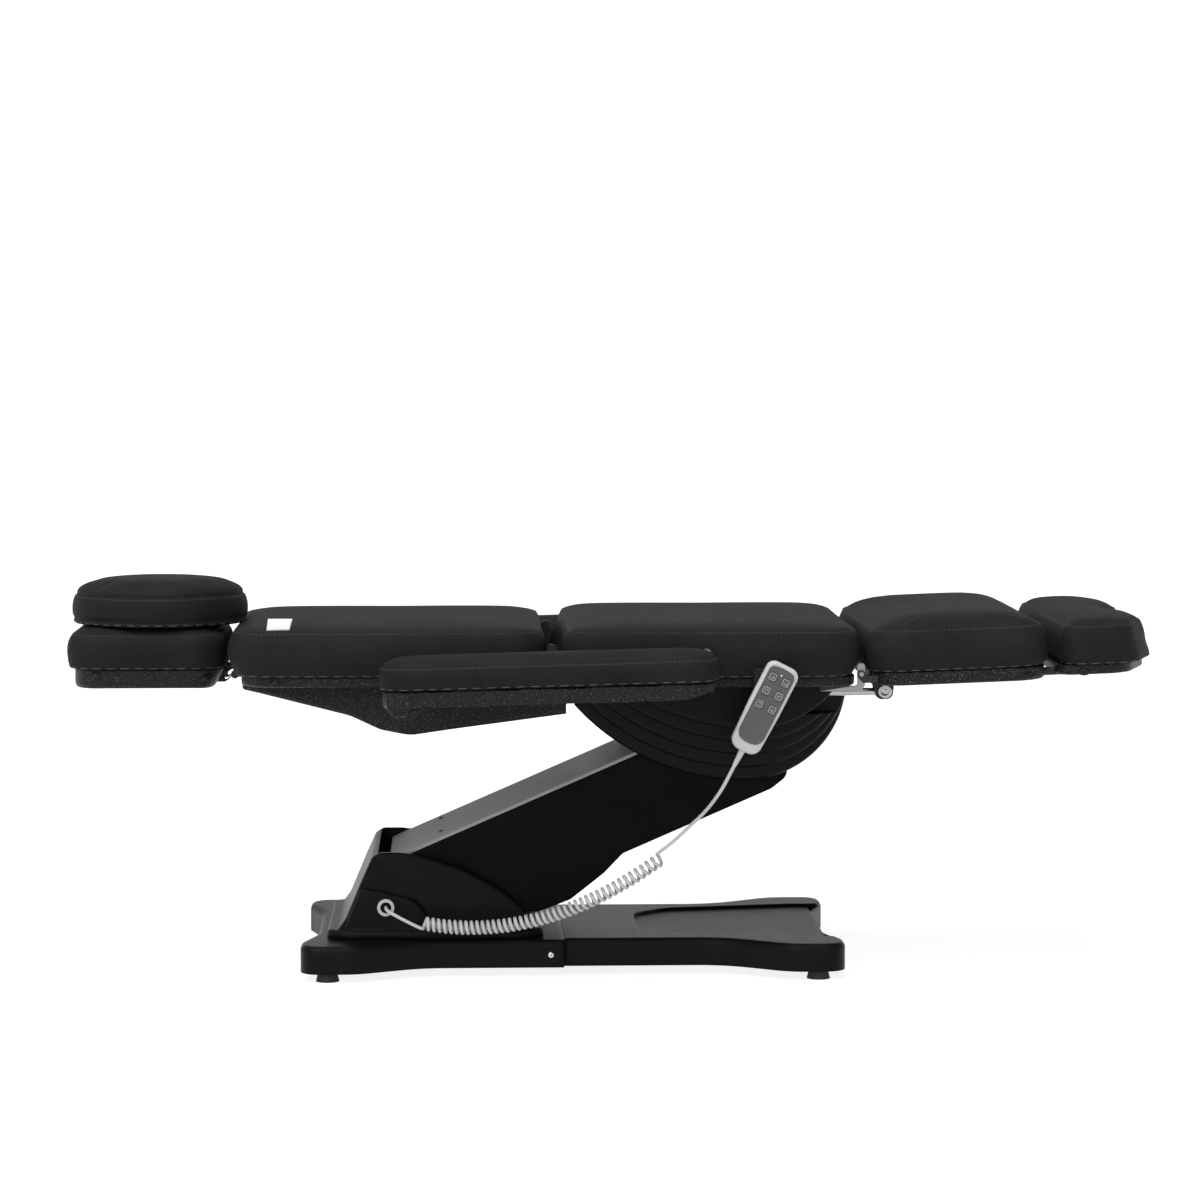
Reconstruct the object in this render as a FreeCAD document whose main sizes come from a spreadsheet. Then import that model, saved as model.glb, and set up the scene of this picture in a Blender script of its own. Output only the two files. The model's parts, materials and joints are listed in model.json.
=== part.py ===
"""Electric treatment chair, laid flat: cushions on moulded pans, a lift arm on a pedestal and a base.

Millimetres, +Z up. +X runs from the head end to the foot end, -Y is the side with the handset.
The origin lies on the floor under the middle of the chair.
"""
import FreeCAD
import Part

import math
import os

V = FreeCAD.Vector
doc = FreeCAD.newDocument("treatment_chair")

# Driving dimensions
SIZES = {
    # base
    "base_rear": -534, "base_front": 394, "base_split": -85, "split_gap": 0.4,
    "lobe_half": 262, "lobe_length": 96, "waist_rear_half": 205, "waist_front_half": 190,
    "base_bottom": 15, "base_top": 62, "base_wall": 5, "dish_depth": 5,
    "foot_dia": 40, "foot_inset_end": 46, "foot_inset_side": 27,
    "beam_width": 40, "beam_height": 30, "beam_half": 140, "deck_thick": 6,
    # pedestal
    "pivot_x": -305, "pivot_z": 129, "cheek_half": 165, "cheek_wall": 12, "rear_wall": 9,
    "cheek_top": 208, "shoulder_out": 11, "flange_out": 22, "flange_height": 14,
    "upright_thick": 6, "side_gap": 4,
    # lift arm, its level link and its actuator
    "arm_length": 600, "arm_angle": 23.5, "arm_half": 142, "arm_wall": 5, "arm_over": 86,
    "arm_under": 62, "arm_tail": 48, "arm_nose": 60, "belly_depth": 99,
    "plate_thick": 5, "plate_reach": -80, "rib_half": 72, "shaft_dia": 30, "bush_wall": 4,
    "tube_wall": 4, "bush_length": 30, "run_gap": 0.05, "link_rise": 45, "link_y": 88, "link_thick": 6,
    "link_width": 24, "pin_dia": 14, "drive_foot_x": 110, "drive_foot_z": -34,
    "drive_head_u": 330, "drive_head_w": -20, "motor_dia": 48, "rod_dia": 20,
    # seat
    "seat_pivot_x": 245.236, "seat_pivot_z": 368.2494,
    "seat_rear": -92, "seat_front": 408, "seat_half": 300, "pan_top": 519, "pan_bottom": 503,
    "pan_inset": 14, "seam_z": 600, "crown": 24, "shoulder": 62, "seam_inset": 13, "pan_wall": 4,
    "pod_low": 331, "pod_bands": 5, "pod_band_rise": 24, "pod_band_out": 17, "pod_rim_half": 168,
    "pod_mid_x": 225, "pod_rear_radius": 390, "pod_front_radius": 173, "pod_rear": -66,
    "pod_clear": 3.5,
    # backrest and armrests
    "back_head": -646, "back_half": 277, "back_gap": 26, "back_hinge_x": -107, "back_hinge_z": 566,
    "shell_half": 190, "shell_low": 413,
    "arm_rest_rear": -394, "arm_rest_front": 169, "arm_rest_inner": 18, "arm_rest_width": 110,
    "arm_rest_pan": -12, "arm_rest_seat": 17, "arm_rest_seam": 58, "arm_rest_crown": 14,
    "arm_rest_tilt": 1.5,
    "swing_x": -352, "swing_z": 494, "swing_drum": 64, "swing_shaft": 17,
    "stay_x": 150, "stay_z": 562,
    # headrest and pillow
    "head_end": -928, "head_neck": -656, "head_half": 155, "head_pan": 497, "head_seat": 522,
    "head_seam": 586,
    "head_crown": 8, "head_rod_dia": 14, "head_rod_y": 80, "head_hinge_x": -650, "head_inset": 12,
    "pillow_dia": 296, "pillow_x": -783, "pillow_low": 594.5, "pillow_seam": 646, "pillow_crown": 24,
    # legrest and footrest, in the legrest's own tilted frame
    "leg_hinge_x": 416, "leg_hinge_z": 523, "leg_tilt": 2.2, "leg_start": 8, "leg_length": 306,
    "leg_crown": 36, "leg_shoulder": 50,
    "leg_half": 300, "leg_pan": -20, "leg_seat": 2, "leg_seam": 75, "rail_y": 228, "rail_width": 20,
    "foot_gap": 24, "foot_length": 178, "foot_half": 288, "foot_pan": -16, "foot_seam": 69, "foot_crown": 22,
    "foot_notch": 26, "slide_dia": 14,
    # handset
    "handset_x": 245, "handset_z": 474, "handset_tilt": 27, "handset_length": 160,
    "handset_width": 57, "handset_depth": 22, "handset_y": -26, "button_size": 13,
    "button_pitch": 25, "button_row": 24, "button_high": 1.6, "button_gap": 0.4,
    # curly cord
    "cord_dia": 6, "curl_dia": 25, "curl_turns": 44,
}

sheet = doc.addObject("Spreadsheet::Sheet", "Dims")
for row, (alias, value) in enumerate(SIZES.items(), start=1):
    sheet.set("A%d" % row, alias.replace("_", " "))
    sheet.set("B%d" % row, str(value))
    sheet.setAlias("B%d" % row, alias)
doc.recompute()


def dim(alias):
    """A driving dimension, read back from the sheet."""
    return float(sheet.get(alias))


nodes = []


def node(obj, label):
    """Marks a document object as a sub-part that is handed out under this label."""
    obj.Label = label
    nodes.append(obj)
    return obj


def bind(obj, **expressions):
    """Ties properties to the sheet; a double underscore stands for a dot."""
    for name, expression in expressions.items():
        obj.setExpression(name.replace("__", "."), expression)
    return obj


def rounded(points):
    """Edges of a closed outline of (a, b, corner radius) points, with tangent arcs at its corners."""
    corners = []
    count = len(points)
    for i in range(count):
        here = V(points[i][0], points[i][1], 0)
        before = V(points[i - 1][0], points[i - 1][1], 0)
        after = V(points[(i + 1) % count][0], points[(i + 1) % count][1], 0)
        radius = points[i][2] if len(points[i]) > 2 else 0
        back = (before - here).normalize()
        ahead = (after - here).normalize()
        half = math.acos(max(-1, min(1, back.dot(ahead)))) / 2
        if radius <= 0 or half > math.pi / 2 - 0.001:
            corners.append((here, here, None))
            continue
        reach = radius / math.tan(half)
        middle = here + (back + ahead).normalize() * (radius / math.sin(half) - radius)
        corners.append((here + back * reach, here + ahead * reach, middle))
    edges = []
    for i in range(count):
        start, end, middle = corners[i]
        if middle is not None:
            edges.append(Part.ArcOfCircle(start, middle, end))
        following = corners[(i + 1) % count][0]
        if end.distanceToPoint(following) > 0.001:
            edges.append(Part.LineSegment(end, following))
    return edges


def circle(a, b, radius):
    """One round outline."""
    return [Part.Circle(V(a, b, 0), V(0, 0, 1), radius)]


def mirrored(points):
    """Closes an outline of (x, y, radius) points at -Y with its mirror image at +Y."""
    return list(points) + [(p[0], -p[1]) + tuple(p[2:]) for p in reversed(points)]


serial = 0


def sketch(outlines, plane):
    """A sketch of one or more outlines: XZ seen from -Y, or XY seen from above."""
    global serial
    serial += 1
    drawing = doc.addObject("Sketcher::SketchObject", "outline_%d" % serial)
    for outline in outlines:
        drawing.addGeometry(outline, False)
    if plane == "XZ":
        drawing.Placement = FreeCAD.Placement(V(0, 0, 0), FreeCAD.Rotation(V(1, 0, 0), 90))
    return drawing


def extrude(outlines, plane, length, at=0.0):
    """Extrudes outlines both ways about Y = at (plane XZ), or up from Z = at (plane XY)."""
    global serial
    serial += 1
    solid = doc.addObject("Part::Extrusion", "extrusion_%d" % serial)
    solid.Base = sketch(outlines, plane)
    solid.DirMode = "Custom"
    solid.Dir = V(0, 1, 0) if plane == "XZ" else V(0, 0, 1)
    solid.Symmetric = plane == "XZ"
    solid.Solid = True
    if isinstance(length, str):
        solid.setExpression("LengthFwd", length)
    else:
        solid.LengthFwd = length
    solid.Placement.Base = V(0, at, 0) if plane == "XZ" else V(0, 0, at)
    return solid


def box(corner, size):
    """A block from its lowest corner and its three lengths, each a number or an expression."""
    block = doc.addObject("Part::Box", "block")
    for name, length in zip(("Length", "Width", "Height"), size):
        if isinstance(length, str):
            block.setExpression(name, length)
        else:
            setattr(block, name, length)
    block.Placement.Base = V(*corner)
    return block


def rod(start, end, diameter):
    """A round bar between two points; its diameter is an expression or a number."""
    bar = doc.addObject("Part::Cylinder", "bar")
    way = V(*end) - V(*start)
    if isinstance(diameter, str):
        bar.setExpression("Radius", "(%s) / 2" % diameter)
    else:
        bar.Radius = diameter / 2
    bar.Height = way.Length
    bar.Placement = FreeCAD.Placement(V(*start), FreeCAD.Rotation(V(0, 0, 1), way))
    return bar


def cross_rod(x, z, half, diameter, middle=0.0):
    """A round bar along Y, centred on Y = middle."""
    return rod((x, middle - half, z), (x, middle + half, z), diameter)


def fuse(*shapes):
    """Joins shapes into one solid without the seams between them."""
    joined = doc.addObject("Part::MultiFuse", "joined")
    joined.Shapes = list(shapes)
    joined.Refine = True
    return joined


def cut(base, *tools):
    """Takes tools away from a shape."""
    result = doc.addObject("Part::Cut", "cut")
    result.Base = base
    result.Tool = tools[0] if len(tools) == 1 else fuse(*tools)
    return result


def group(*shapes):
    """Separate solids that share one node."""
    both = doc.addObject("Part::Compound", "group")
    both.Links = list(shapes)
    return both


def round_edges(base, radius, wanted):
    """Fillets the edges of a shape for which wanted(edge) holds."""
    doc.recompute()
    rounding = doc.addObject("Part::Fillet", "rounding")
    rounding.Base = base
    rounding.Edges = [(i, radius, radius) for i, edge in enumerate(base.Shape.Edges, start=1) if wanted(edge)]
    return rounding


def both_sides(make):
    """Calls make(-1) and make(+1), for the near and the far side."""
    return [make(-1), make(1)]


# Base: two moulded covers over a steel frame, on rubber feet
BASE_LOW = dim("base_bottom")
BASE_TOP = dim("base_top")
DECK_TOP = BASE_LOW + 3 + dim("beam_height") + dim("deck_thick")
PIVOT = (dim("pivot_x"), dim("pivot_z"))
PEDESTAL_REAR = PIVOT[0] - 178
PEDESTAL_FRONT = PIVOT[0] + 180
FOOT_X = (dim("base_rear") + dim("foot_inset_end"), dim("base_front") - dim("foot_inset_end"))
FOOT_Y = dim("lobe_half") - dim("foot_inset_side")


def base_outline(end, waist, lobe_rounding, inset):
    """Half of the base seen from above, from the split line, where it is open, to its two corner lobes."""
    way = 1 if end > dim("base_split") else -1
    split = dim("base_split") + way * dim("split_gap") / 2
    lobe = dim("lobe_half") - inset
    tip = end - way * inset
    inner = end - way * dim("lobe_length")
    side = waist - inset
    return mirrored([
        (split - way * inset, -side),
        (inner - way * 110, -side, 160),
        (inner, -lobe, 90),
        (tip, -lobe, lobe_rounding - inset),
        (tip, -(lobe - 62), lobe_rounding + inset),
        (tip - way * 26, -(lobe - 150), 70),
    ])


def base_cover(end, waist):
    """A hollow cover, open below, with its upper rim rounded."""
    height = "Dims.base_top - Dims.base_bottom"
    inside = "Dims.base_top - Dims.base_bottom - Dims.base_wall"
    outer = extrude([rounded(base_outline(end, waist, 34, 0))], "XY", height, BASE_LOW)
    outer = round_edges(outer, 9, lambda e: e.BoundBox.ZMin > BASE_TOP - 0.1
                        and abs(e.CenterOfMass.x - dim("base_split")) > 2)
    inner = extrude([rounded(base_outline(end, waist, 34, dim("base_wall")))], "XY", inside, BASE_LOW)
    return cut(outer, inner)


def base_pieces():
    rear = base_cover(dim("base_rear"), dim("waist_rear_half"))
    well = box((PEDESTAL_REAR + 20, -dim("cheek_half") + 2, BASE_LOW),
               (PEDESTAL_FRONT - PEDESTAL_REAR - 40, "2 * Dims.cheek_half - 4", "Dims.base_top"))
    node(cut(rear, well), "base_rear_cover")

    front = base_cover(dim("base_front"), dim("waist_front_half"))
    dish_rear = dim("base_split") + 130
    dish = extrude([rounded(mirrored([
        (dish_rear, -80, 60), (dish_rear + 60, -138, 60), (dim("base_front") - 60, -176, 60),
        (dim("base_front") + 40, -176)]))], "XY", "Dims.dish_depth + 1", BASE_TOP - dim("dish_depth"))
    lip = extrude([rounded(mirrored([
        (dish_rear - 8, -88, 66), (dish_rear + 56, -146, 66), (dim("base_front") - 60, -181, 60),
        (dim("base_front") - 28, -181, 8)]))], "XY", "Dims.base_wall",
        BASE_TOP - dim("dish_depth") - dim("base_wall"))
    node(cut(fuse(front, lip), dish), "base_front_cover")

    low = BASE_LOW + 3
    rear_end, front_end = FOOT_X[0] - 8, FOOT_X[1] + 8
    beams = both_sides(lambda s: box((rear_end, s * dim("beam_half") - dim("beam_width") / 2, low),
                                     (front_end - rear_end, "Dims.beam_width", "Dims.beam_height")))
    sleepers = [box((x, -FOOT_Y - 12, low), ("Dims.beam_width", 2 * FOOT_Y + 24, "Dims.beam_height"))
                for x in (rear_end, front_end - dim("beam_width"))]
    deck = box((PEDESTAL_REAR + 45, -dim("beam_half") - dim("beam_width") / 2, low + dim("beam_height")),
               (PEDESTAL_FRONT - PEDESTAL_REAR - 80, "2 * Dims.beam_half + Dims.beam_width",
                "Dims.deck_thick"))
    box_rear, box_length, plate_thick = dim("base_split") + 40, 190, 6
    plate_low = low + dim("beam_height") - plate_thick
    plate = box((box_rear - 15, -dim("beam_half"), plate_low),
                (box_length + 30, "2 * Dims.beam_half", plate_thick))
    node(fuse(*beams, *sleepers, deck, plate), "base_frame")

    def foot(x, y):
        pad = doc.addObject("Part::Cone", "foot")
        bind(pad, Radius1="Dims.foot_dia / 2", Radius2="Dims.foot_dia / 2 - 3", Height="Dims.base_bottom - 2")
        pad.Placement.Base = V(x, y, 0)
        stem = rod((x, y, dim("base_bottom") - 2), (x, y, low), 24)
        return fuse(pad, stem)

    node(group(*[foot(x, s * FOOT_Y) for x in FOOT_X for s in (-1, 1)]), "rubber_feet")

    box_half = dim("beam_half") - dim("beam_width") / 2 - 8
    node(box((box_rear, -box_half, low + 2), (box_length, 2 * box_half, plate_low - low - 2)), "control_box")


base_pieces()


# Pedestal: two fin-shaped cheeks and a rear wall, round the steel uprights that carry the lift shaft
CHEEK_TOP = dim("cheek_top")
CHEEK_INNER = dim("cheek_half") - dim("cheek_wall")
UPRIGHT_Y = dim("arm_half") + dim("side_gap")
SHAFT_HALF = UPRIGHT_Y + dim("upright_thick")
SHAFT_BORE = dim("shaft_dia") + 2 * dim("run_gap")
GLAND = (PIVOT[0] - 85, PIVOT[1] - 13)
GLAND_FACE = -(dim("cheek_half") + dim("shoulder_out"))


def pedestal_pieces():
    px = PIVOT[0]
    rear = PEDESTAL_REAR
    fin = [(rear, BASE_TOP), (rear + 23, BASE_TOP + 31, 30), (rear + 52, CHEEK_TOP - 46, 60),
           (rear + 69, CHEEK_TOP - 8, 12), (rear + 83, CHEEK_TOP, 10), (px - 61, CHEEK_TOP, 60),
           (px - 26, CHEEK_TOP - 5, 120), (px + 42, CHEEK_TOP - 26, 160), (px + 111, CHEEK_TOP - 63, 160),
           (px + 150, CHEEK_TOP - 96, 60), (px + 178, BASE_TOP)]
    shell = extrude([rounded(fin)], "XZ", "2 * Dims.cheek_half")
    shell = round_edges(shell, 7, lambda e: e.BoundBox.YLength < 0.1 and e.CenterOfMass.z > BASE_TOP + 5)
    shoulder = [(rear + 15, BASE_TOP), (rear + 37, GLAND[1], 40), (rear + 51, GLAND[1] + 34, 12),
                (px - 95, GLAND[1] + 27, 20), (px - 35, GLAND[1] + 12, 26), (px - 13, GLAND[1] - 16, 20),
                (px - 6, BASE_TOP)]
    swell = extrude([rounded(shoulder)], "XZ", "2 * (Dims.cheek_half + Dims.shoulder_out)")
    swell = round_edges(swell, 5, lambda e: e.BoundBox.YLength < 0.1 and e.CenterOfMass.z > BASE_TOP + 5)
    skirt_half = dim("cheek_half") + dim("flange_out")
    skirt = extrude([rounded(mirrored([(rear - 8, -skirt_half + 20, 20), (rear + 26, -skirt_half, 40),
                                       (px + 150, -skirt_half, 60), (px + 186, -skirt_half + 30, 20)]))],
                    "XY", "Dims.flange_height", BASE_TOP)
    skirt = round_edges(skirt, 6, lambda e: e.BoundBox.ZMin > BASE_TOP + dim("flange_height") - 0.1)
    wall = dim("rear_wall")
    hollow = [(rear + wall, BASE_TOP - 5), (rear + 23 + wall, BASE_TOP + 31),
              (rear + 52 + wall, CHEEK_TOP - 46), (rear + 69 + wall, CHEEK_TOP - 8),
              (rear + 76 + wall, CHEEK_TOP + 20), (px + 240, CHEEK_TOP + 20), (px + 240, BASE_TOP - 5)]
    passage = extrude([rounded(hollow)], "XZ", "2 * (Dims.cheek_half - Dims.cheek_wall)")
    node(cut(fuse(shell, swell, skirt), passage), "pedestal_housing")

    def upright(side):
        foot, top = DECK_TOP, PIVOT[1]
        outline = [(px - 60, foot), (px + 60, foot), (px + 31, top + 31, 29), (px - 31, top + 31, 29)]
        hole = circle(px, top, SHAFT_BORE / 2)
        return extrude([rounded(outline), hole], "XZ", "Dims.upright_thick",
                       side * (UPRIGHT_Y + dim("upright_thick") / 2))

    face = (GLAND[0], GLAND_FACE, GLAND[1])
    disc = rod(face, (face[0], face[1] - 2, face[2]), 29)
    ring = cut(rod(face, (face[0], face[1] - 6, face[2]), 29), rod(face, (face[0], face[1] - 7, face[2]), 19))
    node(fuse(disc, ring), "cord_gland")
    return both_sides(upright)


UPRIGHTS = pedestal_pieces()


# Lift arm: a moulded channel and its top plate on a steel frame, with the parallel level link inside
ARM = dim("arm_length")
ARM_COS = math.cos(math.radians(dim("arm_angle")))
ARM_SIN = math.sin(math.radians(dim("arm_angle")))


def on_arm(u, w):
    """A point along (u) and across (w) the arm, from its lower pivot, as X and Z."""
    return (PIVOT[0] + u * ARM_COS - w * ARM_SIN, PIVOT[1] + u * ARM_SIN + w * ARM_COS)


def arm_outline(points):
    """An outline drawn along the arm, as rounded edges in XZ."""
    return rounded([on_arm(p[0], p[1]) + tuple(p[2:]) for p in points])


ARM_END = on_arm(ARM, 0)
LINK_LOW = on_arm(0, dim("link_rise"))
LINK_END = on_arm(ARM, dim("link_rise"))
DRIVE_FOOT = (PIVOT[0] + dim("drive_foot_x"), PIVOT[1] + dim("drive_foot_z"))
DRIVE_HEAD = on_arm(dim("drive_head_u"), dim("drive_head_w"))
EYE_HALF = 20
LUG_GAP = 0.5
LUG_THICK = 6
LINK_LUG_Y = dim("link_y") - dim("link_thick") / 2 - LUG_GAP - LUG_THICK / 2 - 4


def link_pin(point, side):
    """A stub pin from a lug through the end of one of the level links."""
    start = side * (LINK_LUG_Y + LUG_THICK / 2)
    end = side * (dim("link_y") + dim("link_thick") / 2 + 3)
    return rod((point[0], start, point[1]), (point[0], end, point[1]), "Dims.pin_dia")


def arm_pieces():
    over, under, belly = dim("arm_over"), dim("arm_under"), dim("belly_depth")
    wall, tail, nose = dim("arm_wall"), dim("arm_tail"), dim("arm_nose")
    reach = ARM + dim("plate_reach")
    rib_half = dim("rib_half")
    side = [(-tail, over), (reach, over, 15), (reach + 50, over - 26, 30), (ARM + 42, over - 32, 30),
            (ARM + nose, 10, 25), (ARM + nose - 2, -25, 25), (ARM + 35, -under + 8, 20), (ARM + 5, -under, 30),
            (325, -under, 20), (282, -belly + 19, 30), (252, -belly + 11, 20), (210, -belly, 30),
            (155, -belly + 3, 30), (83, -belly + 26, 40), (10, -48, 30), (-42, -30, 30), (-tail - 2, 20, 20)]
    outside = extrude([arm_outline(side)], "XZ", "2 * Dims.arm_half")
    outside = round_edges(outside, 3, lambda e: e.BoundBox.YLength < 0.1 and e.Length > 3)
    inner = [(-tail - 20, over + 12), (ARM + nose + 20, over + 12), (ARM + nose + 20, 16),
             (ARM + nose - wall - 1, 9), (ARM + nose - wall - 3, -22), (ARM + 31, -under + wall + 8),
             (ARM + 4, -under + wall),
             (326, -under + wall), (283, -belly + 19 + wall), (253, -belly + 11 + wall), (212, -belly + wall),
             (202, -belly + wall), (196, -belly - 20), (-tail - 20, -belly - 20)]
    inside = extrude([arm_outline(inner)], "XZ", "2 * (Dims.arm_half - Dims.arm_wall)")
    holes = [cross_rod(p[0], p[1], dim("arm_half") + 5, "Dims.shaft_dia + 6") for p in (PIVOT, ARM_END)]
    node(cut(outside, inside, *holes), "arm_cover")

    lid_top = over + dim("plate_thick")
    lid = [(-tail, over), (reach, over), (reach, lid_top, 3), (-tail, lid_top, 3)]
    node(extrude([arm_outline(lid)], "XZ", "2 * Dims.arm_half"), "arm_top_plate")

    rib = arm_outline([(-30, -26, 25), (ARM + 30, -26, 25), (ARM + 30, 26, 25), (-30, 26, 25)])
    ribs = both_sides(lambda s: extrude([rib], "XZ", 6, s * (rib_half - 3)))
    tube_dia = "Dims.shaft_dia + 2 * Dims.bush_wall + 2 * Dims.tube_wall"
    tubes = [cross_rod(p[0], p[1], dim("arm_half") - wall, tube_dia) for p in (PIVOT, ARM_END)]
    bores = [cross_rod(p[0], p[1], dim("arm_half"), "Dims.shaft_dia + 2 * Dims.bush_wall + 2 * Dims.run_gap")
             for p in (PIVOT, ARM_END)]
    clevis_y = EYE_HALF + LUG_GAP
    stubs = both_sides(lambda s: rod((DRIVE_HEAD[0], s * (clevis_y + LUG_THICK), DRIVE_HEAD[1]),
                                     (DRIVE_HEAD[0], s * rib_half, DRIVE_HEAD[1]), 30))
    discs = both_sides(lambda s: rod((DRIVE_HEAD[0], s * clevis_y, DRIVE_HEAD[1]),
                                     (DRIVE_HEAD[0], s * (clevis_y + LUG_THICK), DRIVE_HEAD[1]), 48))
    node(cut(fuse(*ribs, *tubes, *stubs, *discs), *bores), "arm_frame")

    def bush(pivot, side):
        end = side * (dim("arm_half") - wall)
        ring = rod((pivot[0], end - side * dim("bush_length"), pivot[1]), (pivot[0], end, pivot[1]),
                   "Dims.shaft_dia + 2 * Dims.bush_wall")
        bore = rod((pivot[0], end - side * (dim("bush_length") + 1), pivot[1]),
                   (pivot[0], end + side, pivot[1]), "Dims.shaft_dia + 2 * Dims.run_gap")
        return cut(ring, bore)

    node(group(*[bush(p, s) for p in (PIVOT, ARM_END) for s in (-1, 1)]), "pivot_bushes")

    half = dim("link_width") / 2
    low, high = dim("link_rise") - half, dim("link_rise") + half
    bar = arm_outline([(-half, low, half - 1), (ARM + half, low, half - 1), (ARM + half, high, half - 1),
                       (-half, high, half - 1)])
    pin_hole = dim("pin_dia") / 2 + dim("run_gap")
    ends = [circle(p[0], p[1], pin_hole) for p in (LINK_LOW, LINK_END)]
    node(group(*both_sides(lambda s: extrude([bar] + ends, "XZ", "Dims.link_thick", s * dim("link_y")))),
         "level_links")

    link_lug = [(PIVOT[0] - 105, DECK_TOP), (PIVOT[0] - 40, DECK_TOP), (PIVOT[0] - 36, LINK_LOW[1] - 30),
                (LINK_LOW[0] + 12, LINK_LOW[1] - 6, 4), (LINK_LOW[0] + 11, LINK_LOW[1] + 13, 10),
                (LINK_LOW[0] - 12, LINK_LOW[1] + 15, 10), (LINK_LOW[0] - 28, LINK_LOW[1]),
                (PIVOT[0] - 105, DECK_TOP + 16)]
    drive_lug = [(DRIVE_FOOT[0] - 22, DECK_TOP), (DRIVE_FOOT[0] + 22, DECK_TOP),
                 (DRIVE_FOOT[0] + 14, DRIVE_FOOT[1] + 14, 12), (DRIVE_FOOT[0] - 14, DRIVE_FOOT[1] + 14, 12)]
    drive_lug_y = EYE_HALF + LUG_GAP + LUG_THICK / 2
    node(group(*UPRIGHTS,
               *both_sides(lambda s: extrude([rounded(link_lug)], "XZ", LUG_THICK, s * LINK_LUG_Y)),
               *both_sides(lambda s: extrude([rounded(drive_lug)], "XZ", LUG_THICK, s * drive_lug_y))),
         "base_lugs")
    node(group(*both_sides(lambda s: link_pin(LINK_LOW, s)),
               cross_rod(DRIVE_FOOT[0], DRIVE_FOOT[1], EYE_HALF + LUG_GAP, "Dims.pin_dia"),
               cross_rod(PIVOT[0], PIVOT[1], SHAFT_HALF, "Dims.shaft_dia")), "base_pins")


arm_pieces()


def actuator(foot, head, y, case_end, bore_start, labels, slimmer=0, can_lift=0.0):
    """A motor case with a rear eye, and its rod with a head eye and captive pin, in the plane Y = y."""
    eye_dia = 30
    way = V(head[0] - foot[0], 0, head[1] - foot[1])
    length = way.Length
    way.normalize()
    side = V(-way.z, 0, way.x)

    def along(s, offset=0.0):
        return tuple(V(foot[0], y, foot[1]) + way * s + side * offset)

    pieces = [rod(along(eye_dia / 2 + 6), along(case_end), "Dims.motor_dia - %d" % slimmer),
              rod(along(0), along(eye_dia / 2 + 8), 20),
              cross_rod(foot[0], foot[1], EYE_HALF, eye_dia, y)]
    if can_lift:
        can_start, can_end = along(eye_dia / 2 + 10, can_lift), along(case_end - 30, can_lift)
        pieces.append(rod(can_start, can_end, "Dims.motor_dia - 8"))
    bore = rod(along(bore_start), along(case_end + 1), "Dims.rod_dia + 0.6 - %d" % (slimmer / 4))
    pin_hole = cross_rod(foot[0], foot[1], EYE_HALF + 1, "Dims.pin_dia + 2 * Dims.run_gap", y)
    node(cut(fuse(*pieces), bore, pin_hole), labels[0])

    shank = rod(along(bore_start + 4), along(length - 6), "Dims.rod_dia - %d" % (slimmer / 4))
    head_eye = cross_rod(head[0], head[1], EYE_HALF - 6, eye_dia + 2, y)
    pin = cross_rod(head[0], head[1], EYE_HALF + 0.2, "Dims.pin_dia", y)
    node(fuse(shank, head_eye, pin), labels[1])


actuator(DRIVE_FOOT, DRIVE_HEAD, 0.0, 150, 52, ("lift_motor", "lift_rod"), can_lift=36)


# Soft forms: lofts through rings of lines and arcs, crowned on top and drawn in at the seam
def ring(outline, z):
    """A closed wire of an outline at height z."""
    wire = Part.Wire([edge.toShape() for edge in rounded(outline)])
    wire.translate(V(0, 0, z))
    return wire


def oblong(rear, front, half, corner, inset):
    """A rounded rectangle drawn in on every side."""
    radius = min(max(corner - 0.5 * inset, 14), half - inset - 2)
    return [(rear + inset, -half + inset, radius), (front - inset, -half + inset, radius),
            (front - inset, half - inset, radius), (rear + inset, half - inset, radius)]


def cushion(label, outline, low, seam, crown, place=None, drawn=None, reach=None):
    """A pad whose side swells from base to seam, with a crowned top; outline(inset) gives its plan."""
    inset = dim("seam_inset") if drawn is None else drawn
    reach = 3.2 * crown if reach is None else reach
    side = seam - low
    levels = [(low, 0.45 * inset), (low + 0.5 * side, 0), (seam, inset),
              (seam + 0.62 * crown, inset + 0.36 * reach), (seam + crown, inset + reach)]
    pad = doc.addObject("Part::Feature", label)
    pad.Shape = Part.makeLoft([ring(outline(draw), z) for z, draw in levels], True, False)
    if place is not None:
        pad.Placement = place
    return node(pad, label)


def tray(outline, low, top, wall, rounding=5):
    """A moulded pan, open below, under a cushion."""
    outer = extrude([rounded(outline(0))], "XY", top - low, low)
    outer = round_edges(outer, rounding, lambda e: e.BoundBox.ZMax < low + 0.1)
    inner = extrude([rounded(outline(wall))], "XY", top - low - wall, low)
    return cut(outer, inner)


# What the arm carries is drawn in the seat's own frame, where its pivot keeps its place
SEAT_PIVOT = (dim("seat_pivot_x"), dim("seat_pivot_z"))
LINK_HIGH = (SEAT_PIVOT[0] - dim("link_rise") * ARM_SIN, SEAT_PIVOT[1] + dim("link_rise") * ARM_COS)
CARRIED = FreeCAD.Placement(V(ARM_END[0] - SEAT_PIVOT[0], 0, ARM_END[1] - SEAT_PIVOT[1]),
                            FreeCAD.Rotation())
carried_from = len(nodes)


def carry(parts):
    """Sets what is drawn in the seat's frame on the end of the arm."""
    for part in parts:
        part.Placement = CARRIED.multiply(part.Placement)


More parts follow.
